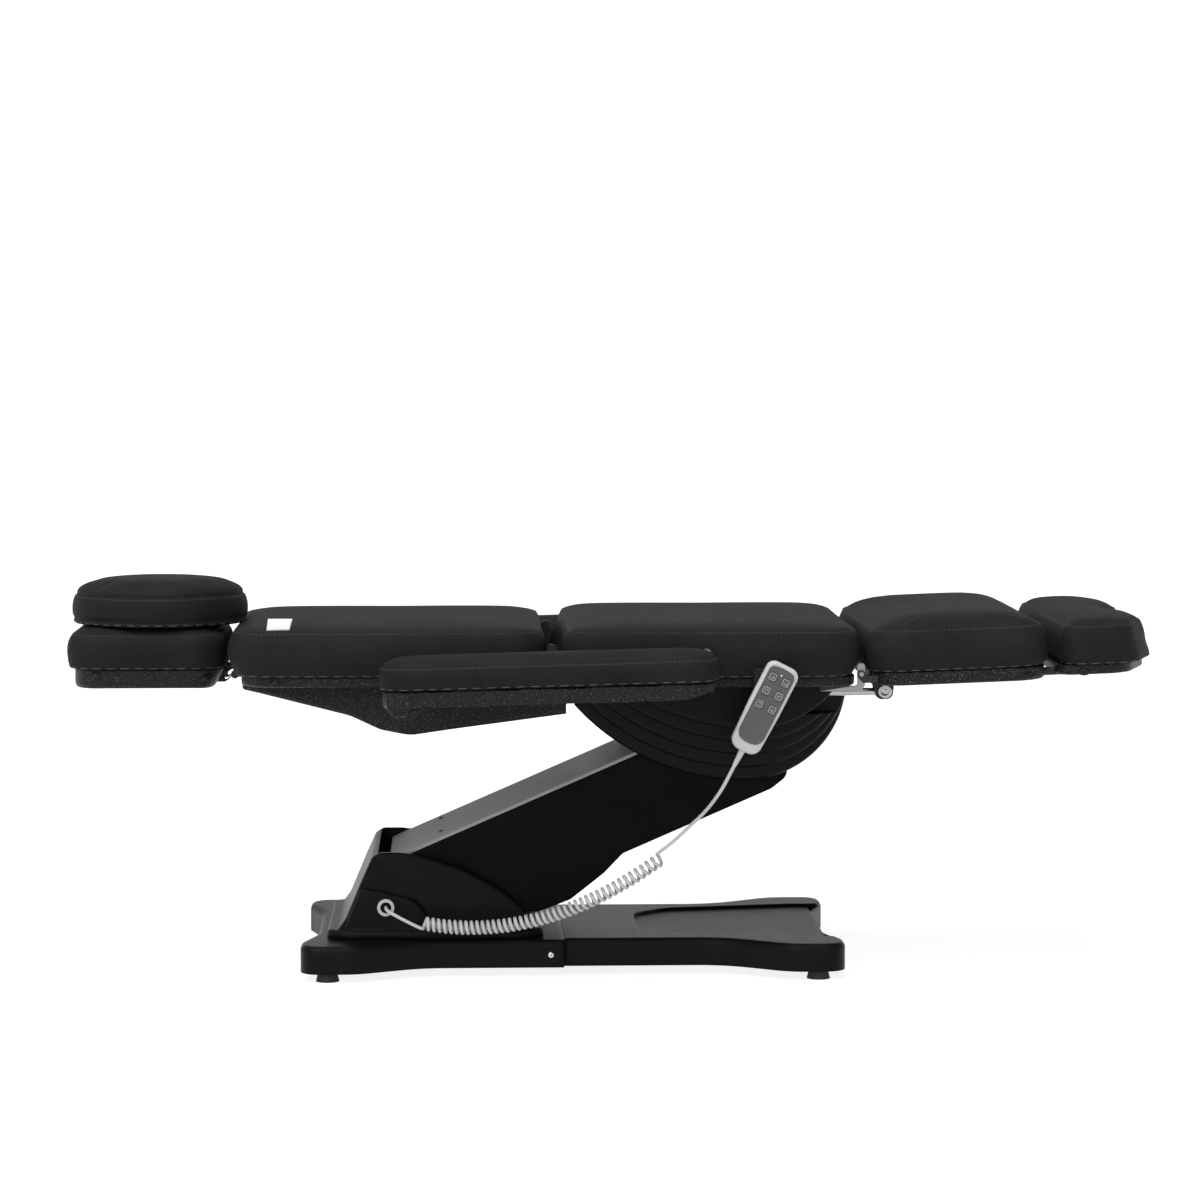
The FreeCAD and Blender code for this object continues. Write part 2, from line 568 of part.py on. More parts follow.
# Seat: cushion, pan and steel frame, with the ridged pod and the bracket that the arm carries
REST_INNER = dim("seat_half") + dim("arm_rest_inner")
HANDSET_Y = dim("handset_y") - dim("seat_half")
PAN_LOW = dim("pan_bottom")
PAN_TOP = dim("pan_top")
FRAME_TOP = PAN_TOP - dim("pan_wall")
BACK_HINGE = (dim("back_hinge_x"), dim("back_hinge_z"))
LEG_HINGE = (dim("leg_hinge_x"), dim("leg_hinge_z"))
HINGE_Y = 244
HINGE_THICK = 5
HINGE_PIN = 8
LEG_EAR_Y = 258
BACK_DRIVE_FOOT = (BACK_HINGE[0] - 288, BACK_HINGE[1] - 100)
BACK_DRIVE_HEAD = (BACK_HINGE[0] - 20, BACK_HINGE[1] - 114)
STAY = (dim("stay_x"), dim("stay_z"))
SWING = (dim("swing_x"), dim("swing_z"))
STAY_END = (STAY[0] + SWING[0] - BACK_HINGE[0], STAY[1] + SWING[1] - BACK_HINGE[1])
STAY_Y = REST_INNER - 8
STAY_THICK = 4
LEG_DRIVE_Y = -205
LEG_ROD_DIA = 12
LEG_CASE_DIA = 30
LEG_CASE_LONG = 200
LEG_DRIVE_LONG = 300
LEG_DRIVE_Z = PAN_LOW - 0.3 - LEG_CASE_DIA / 2
LEG_DRIVE_HEAD = (LEG_HINGE[0] + 44, LEG_DRIVE_Z)


def seat_plan(inset):
    return oblong(dim("seat_rear"), dim("seat_front"), dim("seat_half"), 62, inset)


def pod_band(index):
    """One band of the pod in side view: a long arc from the rear and a shorter one up to the front."""
    low = dim("pod_low") + index * dim("pod_band_rise")
    middle = dim("pod_mid_x") + 2.5 * index
    rear = dim("pod_rear") + 12 * index
    long_r, short_r = dim("pod_rear_radius"), dim("pod_front_radius")

    def rise(radius, run):
        return low + radius - math.sqrt(radius * radius - run * run)

    def run(radius, height):
        drop = radius - (height - low)
        return math.sqrt(radius * radius - drop * drop)

    rear_z = rise(long_r, middle - rear)
    if rear_z > PAN_LOW - 4:
        rear_z = PAN_LOW
        rear = middle - run(long_r, PAN_LOW)
    front = middle + run(short_r, PAN_LOW)
    half_rear = 0.5 * (middle - rear)
    half_front = 0.6 * (front - middle)
    edges = [Part.ArcOfCircle(V(rear, rear_z, 0), V(middle - half_rear, rise(long_r, half_rear), 0),
                              V(middle, low, 0)),
             Part.ArcOfCircle(V(middle, low, 0), V(middle + half_front, rise(short_r, half_front), 0),
                              V(front, PAN_LOW, 0)),
             Part.LineSegment(V(front, PAN_LOW, 0), V(rear, PAN_LOW, 0))]
    if rear_z < PAN_LOW:
        edges.append(Part.LineSegment(V(rear, PAN_LOW, 0), V(rear, rear_z, 0)))
    return edges


def hook():
    """The holder at the side of the seat that the handset hangs on."""
    back = HANDSET_Y + 0.3
    width = 32
    rear = dim("handset_x") - width / 2
    arm = box((rear, back, PAN_LOW + 2), (width, -dim("seat_half") + dim("pan_inset") + 2 - back, 5))
    tab = box((rear, back, PAN_LOW + 2), (width, 3, 34))
    return [arm, tab]


def stay_brackets():
    """Plates up the sides of the seat that carry the fixed ends of the two stays."""
    plate_y = STAY_Y - STAY_THICK - 0.7
    foot = PAN_LOW - 6

    def bracket(side):
        outline = [(STAY[0] - 14, foot), (STAY[0] + 14, foot), (STAY[0] + 9, STAY[1] + 9, 8),
                   (STAY[0] - 9, STAY[1] + 9, 8)]
        plate = extrude([rounded(outline)], "XZ", STAY_THICK, side * plate_y)
        inner = dim("seat_half") - 50
        shelf = box((STAY[0] - 14, inner if side > 0 else -plate_y, foot), (28, plate_y - inner, 6))
        start = side * (plate_y + STAY_THICK / 2)
        end = side * (STAY_Y + STAY_THICK / 2 + 1)
        pin = rod((STAY[0], start, STAY[1]), (STAY[0], end, STAY[1]), HINGE_PIN)
        return fuse(plate, shelf, pin)

    return both_sides(bracket)


def seat_pieces():
    cushion("seat_cushion", seat_plan, PAN_TOP + 0.3, dim("seam_z"), dim("crown"), reach=dim("shoulder"))
    pan = tray(lambda inset: seat_plan(dim("pan_inset") + inset), PAN_LOW, PAN_TOP, dim("pan_wall"))
    node(fuse(pan, *hook()), "seat_pan")

    rear, front = dim("seat_rear") + 22, dim("seat_front") - 22
    height = FRAME_TOP - PAN_LOW
    tie_half = dim("seat_half") - 30
    tie_width = 30
    tie_x = (rear + 20, front - 20 - tie_width, STAY[0] - tie_width / 2)
    bars = both_sides(lambda s: box((rear, s * 200 - 15, PAN_LOW), (front - rear, 30, height)))
    ties = [box((x, -tie_half, PAN_LOW), (tie_width, 2 * tie_half, height)) for x in tie_x]
    saddle = box((SEAT_PIVOT[0] - 80, -200, PAN_LOW), (160, 400, height))
    node(fuse(*bars, *ties, saddle), "seat_frame")

    bands = []
    for index in range(int(dim("pod_bands"))):
        half = dim("pod_rim_half") + index * dim("pod_band_out")
        band = extrude([pod_band(index)], "XZ", 2 * half)
        bands.append(round_edges(band, 9, lambda e: e.BoundBox.YLength < 0.1 and e.BoundBox.ZMin < PAN_LOW - 1))
    inside = SHAFT_HALF + dim("pod_clear")
    pivot_x, pivot_z = SEAT_PIVOT
    passage = rounded([(-140, 280), (480, 280), (480, pivot_z - 6), (pivot_x + 75, pivot_z - 6),
                       (pivot_x + 140, PAN_LOW + 5), (-140, PAN_LOW + 5)])
    opening = extrude([passage], "XZ", 2 * inside)
    outer_y = LEG_DRIVE_Y - 27
    pocket = box((LEG_DRIVE_HEAD[0] - 340, outer_y, PAN_LOW - 52), (400, 52, 60))
    node(cut(fuse(*bands), opening, pocket), "ridged_pod")

    plate_low = PAN_LOW - 6
    hanger = [(pivot_x - 62, plate_low), (pivot_x - 34, pivot_z - 34, 32), (pivot_x + 34, pivot_z - 34, 32),
              (pivot_x + 62, plate_low)]
    hangers = both_sides(lambda s: extrude([rounded(hanger), circle(pivot_x, pivot_z, SHAFT_BORE / 2)], "XZ",
                                           "Dims.upright_thick", s * (UPRIGHT_Y + dim("upright_thick") / 2)))
    tongue = [(LINK_HIGH[0] - 16, plate_low), (LINK_HIGH[0] - 13, LINK_HIGH[1] - 13, 12),
              (LINK_HIGH[0] + 13, LINK_HIGH[1] - 13, 12), (LINK_HIGH[0] + 16, plate_low)]
    tongues = both_sides(lambda s: extrude([rounded(tongue)], "XZ", LUG_THICK, s * LINK_LUG_Y))
    bridge = box((pivot_x - 80, -SHAFT_HALF, plate_low), (160, 2 * SHAFT_HALF, 6))
    node(fuse(*hangers, *tongues, bridge), "seat_bracket")

    bx, bz = BACK_HINGE
    under = PAN_LOW - 9
    back_ear = [(rear + 34, PAN_LOW), (rear + 34, under), (bx + 6, under, 8), (bx - 8, under + 14, 6),
                (bx - 8, bz + 8, 7), (bx + 8, bz + 8, 7), (bx + 8, PAN_LOW, 4)]
    lx, lz = LEG_HINGE
    leg_ear = [(front - 40, PAN_LOW), (front - 40, under), (lx, under, 8), (lx + 6.5, under + 10, 6),
               (lx + 6.5, lz + 18, 6), (lx - 6.5, lz + 18, 6), (lx - 6.5, PAN_LOW, 4)]
    hx, hz = BACK_DRIVE_HEAD
    fork = [(rear + 36, PAN_LOW), (rear + 36, hz + 34), (hx + 16, hz - 16, 15), (hx - 16, hz - 16, 15),
            (hx - 16, hz + 16, 15), (rear, hz + 40), (rear, PAN_LOW)]
    fork_y = EYE_HALF + LUG_GAP + LUG_THICK / 2
    node(group(*both_sides(lambda s: extrude([rounded(back_ear)], "XZ", HINGE_THICK, s * HINGE_Y)),
               *both_sides(lambda s: extrude([rounded(leg_ear)], "XZ", HINGE_THICK, s * LEG_EAR_Y)),
               *both_sides(lambda s: extrude([rounded(fork)], "XZ", LUG_THICK, s * fork_y)),
               *stay_brackets()), "seat_lugs")

    def hinge_pin(point, y, side):
        start = side * (y + HINGE_THICK / 2)
        end = start + side * (HINGE_THICK + 1.5)
        return rod((point[0], start, point[1]), (point[0], end, point[1]), HINGE_PIN)

    node(group(*both_sides(lambda s: hinge_pin(BACK_HINGE, HINGE_Y, s)),
               *both_sides(lambda s: hinge_pin(LEG_HINGE, LEG_EAR_Y, s)),
               *both_sides(lambda s: link_pin(LINK_HIGH, s)),
               cross_rod(pivot_x, pivot_z, SHAFT_HALF, "Dims.shaft_dia")), "seat_pins")

    def on_leg_drive(s):
        return (LEG_DRIVE_HEAD[0] - LEG_DRIVE_LONG + s, LEG_DRIVE_Y, LEG_DRIVE_Z)

    case = rod(on_leg_drive(0), on_leg_drive(LEG_CASE_LONG), LEG_CASE_DIA)
    bore = rod(on_leg_drive(20), on_leg_drive(LEG_CASE_LONG + 1), LEG_ROD_DIA + 0.6)
    node(cut(case, bore), "leg_motor")
    shank = rod(on_leg_drive(LEG_CASE_LONG / 2), on_leg_drive(LEG_DRIVE_LONG - 4), LEG_ROD_DIA)
    ball = doc.addObject("Part::Sphere", "ball")
    ball.Radius = 10
    ball.Placement.Base = V(LEG_DRIVE_HEAD[0], LEG_DRIVE_Y, LEG_DRIVE_Z)
    node(fuse(shank, ball), "leg_rod")


seat_pieces()


# Backrest: cushion, pan and frame with the deep under-shell that holds its actuator
BACK_FRONT = dim("seat_rear") - dim("back_gap")
HEAD_ROD_Z = PAN_TOP - 0.5 - dim("head_rod_dia") / 2


def back_plan(inset):
    return oblong(dim("back_head"), BACK_FRONT, dim("back_half"), 66, inset)


def head_rods(diameter, rear, front):
    return [rod((rear, s * dim("head_rod_y"), HEAD_ROD_Z), (front, s * dim("head_rod_y"), HEAD_ROD_Z), diameter)
            for s in (-1, 1)]


def back_pieces():
    cushion("back_cushion", back_plan, PAN_TOP + 0.3, dim("seam_z") - 2, dim("crown"))
    rod_bore = dim("head_rod_dia") + 2 * dim("run_gap")
    pan = tray(lambda inset: back_plan(dim("pan_inset") + inset), PAN_LOW, PAN_TOP, dim("pan_wall"))
    rear, front = dim("back_head") + dim("pan_inset"), BACK_FRONT - dim("pan_inset")
    node(cut(pan, *head_rods(dim("head_rod_dia") + 2, rear - 10, rear + 200)), "back_pan")

    height = FRAME_TOP - PAN_LOW
    bars = both_sides(lambda s: box((rear + 20, s * 200 - 15, PAN_LOW), (front - rear - 36, 30, height)))
    tie_width = 30
    spans = [(rear + 22, 215), (BACK_DRIVE_FOOT[0] - tie_width / 2, 256), (front - 46 - tie_width, 256)]
    ties = [box((x, -half, PAN_LOW), (tie_width, 2 * half, height)) for x, half in spans]
    lugs = both_sides(lambda s: box((SWING[0] - 18, s * 225 - 15, SWING[1] - 16),
                                    (36, 30, PAN_LOW - SWING[1] + 16)))
    bx, bz = BACK_HINGE
    under = PAN_LOW - 9
    ear = [(front - 74, PAN_LOW), (front - 74, under), (bx - 6, under, 8), (bx + 8, under + 14, 6),
           (bx + 8, bz + 8, 7), (bx - 8, bz + 8, 7), (bx - 8, PAN_LOW, 4)]
    ear_y = HINGE_Y + HINGE_THICK + 0.7
    ears = both_sides(lambda s: extrude([rounded(ear), circle(bx, bz, HINGE_PIN / 2 + dim("run_gap"))], "XZ",
                                        HINGE_THICK, s * ear_y))
    mx, mz = BACK_DRIVE_FOOT
    clevis = [(mx - 20, PAN_LOW), (mx - 16, mz - 16, 14), (mx + 16, mz - 16, 14), (mx + 20, PAN_LOW)]
    clevis_y = EYE_HALF + LUG_GAP + LUG_THICK / 2
    clevises = both_sides(lambda s: extrude([rounded(clevis)], "XZ", LUG_THICK, s * clevis_y))
    frame = fuse(*bars, *ties, *lugs, *ears, *clevises)
    node(cut(frame, *head_rods(rod_bore, rear - 10, rear + 200)), "back_frame")

    low = dim("shell_low")
    wall = 5
    head, tail = rear, BACK_HINGE[0] + 26
    belly = [(head, PAN_LOW), (head, low + 80, 6), (head + 30, low + 73), (-449, low + 34, 90),
             (-398, low + 10, 50), (-347, low, 70), (-279, low + 10, 90), (tail, low + 36),
             (tail, PAN_LOW - 6), (front, PAN_LOW - 6),
             (front, PAN_LOW)]
    shell = extrude([rounded(belly)], "XZ", "2 * Dims.shell_half")
    shell = round_edges(shell, 8, lambda e: e.BoundBox.YLength < 0.1 and e.BoundBox.ZMax < PAN_LOW - 12
                        and e.CenterOfMass.x < tail - 1)
    inner = [(head + wall, PAN_LOW + 5), (head + wall, low + 84), (head + 31, low + 78), (-449, low + 39, 90),
             (-398, low + 15, 50), (-347, low + wall, 70), (-279, low + 15, 90), (tail + 20, low + 41 + 5),
             (tail + 20, PAN_LOW + 5)]
    hollow = extrude([rounded(inner)], "XZ", "2 * Dims.shell_half - 10")
    slot = box((mx + 120, -36, low - 20), (tail - mx, 72, 70))
    node(cut(shell, hollow, slot), "back_shell")

    def swing_shaft(side):
        outer = side * (REST_INNER + 87)
        return rod((SWING[0], side * 240, SWING[1]), (SWING[0], outer, SWING[1]), "Dims.swing_shaft")

    node(group(*both_sides(swing_shaft), cross_rod(mx, mz, EYE_HALF + LUG_GAP, "Dims.pin_dia")), "back_pins")


back_pieces()
actuator(BACK_DRIVE_FOOT, BACK_DRIVE_HEAD, 0.0, 195, 40, ("back_motor", "back_rod"), slimmer=20)


# Armrests: drawn about their swing axis, each kept level by a stay to the seat
def armrest(side, name):
    middle = REST_INNER + dim("arm_rest_width") / 2
    half = dim("arm_rest_width") / 2
    place = FreeCAD.Placement(V(SWING[0], side * middle, SWING[1]),
                              FreeCAD.Rotation(V(0, 1, 0), -dim("arm_rest_tilt")))
    rear, front = dim("arm_rest_rear") - SWING[0], dim("arm_rest_front") - SWING[0]
    low, seat = dim("arm_rest_pan"), dim("arm_rest_seat")

    def plan(inset):
        return oblong(rear, front, half, 44, inset)

    cushion("armrest_pad_" + name, plan, seat + 0.3, dim("arm_rest_seam"), dim("arm_rest_crown"), place,
            drawn=5, reach=30)
    pan = tray(lambda inset: plan(5 + inset), low, seat, dim("pan_wall"))
    drum = cut(cross_rod(0, 0, 36, "Dims.swing_drum"), box((-60, -60, seat - 2), (120, 120, 80)))
    end = place.inverse().multVec(V(STAY_END[0], side * middle, STAY_END[1]))
    inner_face = -side * (half - 5)
    tab = box((end.x - 11, min(inner_face, inner_face + side * 4), end.z - 11), (22, 4, low + 10 - end.z + 11))
    pin = rod((end.x, inner_face, end.z), (end.x, -side * (middle - STAY_Y + STAY_THICK / 2), end.z), HINGE_PIN)
    bore = cross_rod(0, 0, 70, "Dims.swing_shaft + 2 * Dims.run_gap")
    shell = cut(fuse(pan, drum, tab, pin), bore)
    shell.Placement = place
    node(shell, "armrest_pan_" + name)

    way = V(STAY_END[0] - STAY[0], STAY_END[1] - STAY[1], 0)
    across = V(-way.y, way.x, 0).normalize() * 9
    along = V(way).normalize() * 9
    corners = [V(*STAY, 0) - along + across, V(*STAY, 0) - along - across,
               V(*STAY_END, 0) + along - across, V(*STAY_END, 0) + along + across]
    bar = rounded([(c.x, c.y, 8) for c in corners])
    holes = [circle(point[0], point[1], HINGE_PIN / 2 + dim("run_gap")) for point in (STAY, STAY_END)]
    node(extrude([bar] + holes, "XZ", STAY_THICK, side * STAY_Y), "armrest_stay_" + name)


armrest(-1, "near")
armrest(1, "far")


# Headrest on two rods with a tilting hinge, and the loose round pillow
def head_plan(inset):
    return oblong(dim("head_end"), dim("head_neck"), dim("head_half"), 56, inset)


def head_pieces():
    cushion("head_cushion", head_plan, dim("head_seat") + 0.3, dim("head_seam"), dim("head_crown"))
    inset = dim("head_inset")
    pan = tray(lambda draw: head_plan(inset + draw), dim("head_pan"), dim("head_seat"), dim("pan_wall"), 8)
    hx, hz = dim("head_hinge_x"), HEAD_ROD_Z - 2
    wall_x = dim("head_neck") - inset
    knuckle = [(wall_x - 2, hz - 10), (hx + 10, hz - 10, 9), (hx + 10, hz + 10, 9), (wall_x - 2, hz + 10)]
    knuckles = both_sides(lambda s: extrude([rounded(knuckle), circle(hx, hz, 7 + dim("run_gap"))], "XZ", 12,
                                            s * 40))
    node(fuse(pan, *knuckles), "head_pan")

    barrel = cross_rod(hx, hz, dim("head_rod_y") + 10, 14)
    bars = head_rods("Dims.head_rod_dia", hx, dim("back_head") + 180)
    node(fuse(barrel, *bars), "head_slide")

    radius = dim("pillow_dia") / 2
    centre = dim("pillow_x")

    def disc(draw):
        r = radius - draw
        return [(centre - r, -r, r), (centre + r, -r, r), (centre + r, r, r), (centre - r, r, r)]

    cushion("round_pillow", disc, dim("pillow_low"), dim("pillow_seam"), dim("pillow_crown"), drawn=7)


head_pieces()


# Legrest and telescopic footrest, drawn in a frame at the leg hinge that tips up a little
LEG_PLACE = FreeCAD.Placement(V(LEG_HINGE[0], 0, LEG_HINGE[1]), FreeCAD.Rotation(V(0, 1, 0), -dim("leg_tilt")))
LEG_END = dim("leg_start") + dim("leg_length")
FOOT_START = LEG_END + dim("foot_gap")
RAIL_TOP = dim("leg_seat") - dim("pan_wall") - 1
RAIL_LOW = RAIL_TOP - 17
SLIDE_Z = (RAIL_TOP + RAIL_LOW) / 2


def leg_plan(inset):
    return oblong(dim("leg_start"), LEG_END, dim("leg_half"), 62, inset)


def foot_plan(inset):
    """Straight at the legrest, two lobes at the feet with a dip between them."""
    rear, front = FOOT_START + inset, FOOT_START + dim("foot_length") - inset
    half = dim("foot_half") - inset
    shoulder = 50 - 0.6 * inset
    return mirrored([(rear, -half, 40 - 0.5 * inset), (front - shoulder, -half, 60 - 0.7 * inset),
                     (front, -half + 2.6 * shoulder, 60 - 0.7 * inset), (front, -84, 40),
                     (front - dim("foot_notch"), -24, 40)])


def slides(diameter, rear, front):
    return [rod((rear, s * dim("rail_y"), SLIDE_Z), (front, s * dim("rail_y"), SLIDE_Z), diameter)
            for s in (-1, 1)]


def leg_pieces():
    cushion("leg_cushion", leg_plan, dim("leg_seat") + 0.3, dim("leg_seam"), dim("leg_crown"), LEG_PLACE,
            reach=dim("leg_shoulder"))
    start, end = dim("leg_start") + 14, LEG_END - 16
    ear_y = LEG_EAR_Y + HINGE_THICK + 0.7
    pan = tray(lambda inset: leg_plan(dim("pan_inset") - 6 + inset), dim("leg_pan"), dim("leg_seat"),
               dim("pan_wall"))
    notch_y = (LEG_EAR_Y + ear_y) / 2
    notches = both_sides(lambda s: box((dim("leg_start"), s * notch_y - 8, dim("leg_pan") - 1),
                                       (start + 20, 16, 40)))
    ball_notch = box((dim("leg_start"), LEG_DRIVE_Y - 16, dim("leg_pan") - 1), (18, 32, 15))
    pan = cut(pan, *slides(dim("slide_dia") + 3, LEG_END - 40, LEG_END + 10), *notches, ball_notch)
    pan.Placement = LEG_PLACE
    node(pan, "leg_pan")

    rails = both_sides(lambda s: box((start, s * dim("rail_y") - dim("rail_width") / 2, RAIL_LOW),
                                     (end - start, "Dims.rail_width", RAIL_TOP - RAIL_LOW)))
    tie = box((start + 22, -268, RAIL_TOP - 10), (34, 536, 10))
    brace = box((end - 60, -dim("rail_y"), RAIL_TOP - 10), (30, 2 * dim("rail_y"), 10))
    ear = [(start + 40, RAIL_TOP), (start + 40, RAIL_TOP - 12), (2, RAIL_TOP - 12, 6), (-6.5, -4, 5),
           (-6.5, 6.5, 6), (6.5, 6.5, 6), (6.5, RAIL_TOP, 2)]
    ears = both_sides(lambda s: extrude([rounded(ear), circle(0, 0, HINGE_PIN / 2 + dim("run_gap"))], "XZ",
                                        HINGE_THICK, s * ear_y))
    ball = LEG_PLACE.inverse().multVec(V(LEG_DRIVE_HEAD[0], 0, LEG_DRIVE_HEAD[1]))
    cheek = [(start, RAIL_TOP), (ball.x - 14, ball.z - 12, 12), (ball.x + 14, ball.z - 12, 12),
             (start + 40, RAIL_TOP)]
    cheeks = [extrude([rounded(cheek)], "XZ", 4, LEG_DRIVE_Y + s * 12.8) for s in (-1, 1)]
    frame = cut(fuse(*rails, tie, brace, *ears, *cheeks),
                *slides(dim("slide_dia") + 2 * dim("run_gap"), start - 5, end + 5))
    frame.Placement = LEG_PLACE
    node(frame, "leg_frame")

    cushion("foot_cushion", foot_plan, 0.3, dim("foot_seam"), dim("foot_crown"), LEG_PLACE, reach=36)
    foot_pan = tray(lambda inset: foot_plan(dim("pan_inset") - 4 + inset), dim("foot_pan"), 0, dim("pan_wall"))
    foot_pan.Placement = LEG_PLACE
    node(foot_pan, "foot_pan")
    bars = group(*slides("Dims.slide_dia", start + 90, FOOT_START + dim("pan_inset") - 4))
    bars.Placement = LEG_PLACE
    node(bars, "foot_slides")


leg_pieces()


# Handset on its hook, drawn upright about its middle and then tilted
HANDSET_PLACE = FreeCAD.Placement(V(dim("handset_x"), HANDSET_Y, dim("handset_z")),
                                  FreeCAD.Rotation(V(0, 1, 0), dim("handset_tilt")))
KEYPAD_MIDDLE = 29
FACE_THICK = 1.2
BOOT_LENGTH = 28


def handset_pieces():
    half_w, half_l, depth = dim("handset_width") / 2, dim("handset_length") / 2, dim("handset_depth")
    body = [(-half_w + 3, -half_l, 18), (half_w - 3, -half_l, 18), (half_w, 0, 300), (half_w, half_l, 15),
            (-half_w, half_l, 15), (-half_w, 0, 300)]
    rim = 5.5
    panel = [(-half_w + rim, -half_l + 30, 18), (0, -half_l + 18, 40), (half_w - rim, -half_l + 30, 18),
             (half_w - rim, half_l - 9, 10), (0, half_l - rim, 60), (-half_w + rim, half_l - 9, 10)]
    case = extrude([rounded(body)], "XZ", depth, -depth / 2)
    case = round_edges(case, 5, lambda e: e.BoundBox.YLength < 0.1)
    face = extrude([rounded(panel)], "XZ", FACE_THICK, -depth - FACE_THICK / 2)
    size, gap = dim("button_size"), dim("button_gap")
    high = dim("button_high") + FACE_THICK
    places = [(column * dim("button_row") / 2, KEYPAD_MIDDLE + row * dim("button_pitch"))
              for row in (1, 0, -1) for column in (-1, 1)]

    def key(u, v, grow, front, back):
        half = size / 2 + grow
        square = [(u + a * half, v + b * half, 2.5) for a, b in ((-1, -1), (1, -1), (1, 1), (-1, 1))]
        return extrude([rounded(square)], "XZ", back - front, (front + back) / 2)

    wells = [key(u, v, gap, -depth - 5, -depth + 2) for u, v in places]
    case = cut(case, *wells)
    case.Placement = HANDSET_PLACE
    node(case, "handset_case")
    face = cut(face, *[key(u, v, gap, -depth - 5, -depth + 2) for u, v in places])
    face.Placement = HANDSET_PLACE
    node(face, "handset_face")
    for number, (u, v) in enumerate(places, start=1):
        button = key(u, v, 0, -depth - high, -depth + 0.8)
        button.Placement = HANDSET_PLACE.multiply(button.Placement)
        node(button, "button_%d" % number)

    boot = doc.addObject("Part::Cone", "boot")
    boot.Radius1 = dim("cord_dia") / 2 + 0.5
    boot.Radius2 = dim("cord_dia") / 2 + 2.5
    boot.Height = BOOT_LENGTH
    boot.Placement = HANDSET_PLACE.multiply(FreeCAD.Placement(V(0, -depth / 2, -half_l - BOOT_LENGTH),
                                                              FreeCAD.Rotation()))
    node(boot, "cord_boot")


handset_pieces()
carry(nodes[carried_from:])


# Curly cord: a lead from the gland, the curls, and a lead up to the handset's boot
CORD = dim("cord_dia")
BOOT_TIP = V(0, -dim("handset_depth") / 2, -dim("handset_length") / 2 - BOOT_LENGTH)
BOOT_END = CARRIED.multVec(HANDSET_PLACE.multVec(BOOT_TIP))
GLAND_END = V(GLAND[0], GLAND_FACE - 2, GLAND[1])
CURL_REAR = -316.0
CURL_FRONT = 80.0
CURL_LOW_X = -235.0
CURL_LOW_Z = 86.0
CURL_BEND = 0.00131
CURL_NEAR_Y = -214.0
CURL_SWAY = 66.0


def curl_axis(x):
    """The sagging line that the curls run round."""
    share = (x - CURL_REAR) / (CURL_FRONT - CURL_REAR)
    return V(x, CURL_NEAR_Y - CURL_SWAY * share * share, CURL_LOW_Z + CURL_BEND * (x - CURL_LOW_X) ** 2)


def axis_way(x):
    return (curl_axis(x + 0.5) - curl_axis(x - 0.5)).normalize()


def arc_edge(start, way, end):
    """An arc that leaves start along way and ends at end."""
    chord = end - start
    across = way - chord * (way.dot(chord) / chord.dot(chord))
    if across.Length < 1e-6:
        return Part.LineSegment(start, end).toShape()
    angle = way.getAngle(chord)
    middle = start + chord * 0.5 + across.normalize() * (0.5 * chord.Length * math.tan(angle / 2))
    return Part.Arc(start, middle, end).toShape()


def biarc(p1, t1, p2, t2):
    """Two arcs that join two points along the given directions."""
    v = p2 - p1
    t = t1 + t2
    k = 2 * (1 - t1.dot(t2))
    if abs(k) < 1e-9:
        d = v.dot(v) / (2 * v.dot(t))
    else:
        d = (math.sqrt(v.dot(t) ** 2 + k * v.dot(v)) - v.dot(t)) / k
    joint = (p1 + t1 * d + p2 - t2 * d) * 0.5
    first = arc_edge(p1, t1, joint)
    leaving = (p2 - t2 * d - joint).normalize()
    return [first, arc_edge(joint, leaving, p2)]


def curl_point(turn):
    """The cord's middle line after this many turns; the curls open from the axis and close to it."""
    turns = dim("curl_turns")
    share = turn / turns
    x = CURL_REAR + (CURL_FRONT - CURL_REAR) * share
    ease = max(0.0, min(1.0, turn, turns - turn))
    ease = ease * ease * (3 - 2 * ease)
    radius = (dim("curl_dia") - CORD) / 2 * ease
    way = axis_way(x)
    level = V(0, 1, 0).cross(way).normalize()
    beside = way.cross(level)
    angle = 2 * math.pi * turn
    return curl_axis(x) + level * (radius * math.cos(angle)) + beside * (radius * math.sin(angle))


def curl_wire():
    quarter_count = int(4 * dim("curl_turns"))
    step = 0.001
    edges = []
    marks = []
    for i in range(quarter_count + 1):
        turn = i / 4
        way = (curl_point(turn + step) - curl_point(turn - step)).normalize()
        if i == 0:
            way = axis_way(CURL_REAR)
        if i == quarter_count:
            way = axis_way(CURL_FRONT)
        marks.append((curl_point(turn), way))
    start, way = marks[0]
    edges.append(Part.LineSegment(start - way * CORD, start).toShape())
    for (p1, t1), (p2, t2) in zip(marks, marks[1:]):
        edges += biarc(p1, t1, p2, t2)
    end, way = marks[-1]
    edges.append(Part.LineSegment(end, end + way * CORD).toShape())
    return Part.Wire(edges)


def sweep(wire, section):
    """One unbroken tube along a wire."""
    shell = Part.BRepOffsetAPI.MakePipeShell(wire)
    shell.add(section)
    shell.build()
    shell.makeSolid()
    return shell.shape()


def section_at(point, way, sides):
    """A round section of the cord, or one with flat sides, square to its way."""
    if not sides:
        return Part.Wire([Part.Circle(point, way, CORD / 2).toShape()])
    level = V(0, 1, 0).cross(way).normalize()
    beside = way.cross(level)
    corner = CORD / 2 * 1.08
    corners = [point + level * (corner * math.cos(2 * math.pi * i / sides))
               + beside * (corner * math.sin(2 * math.pi * i / sides)) for i in range(sides)]
    return Part.makePolygon(corners + corners[:1])


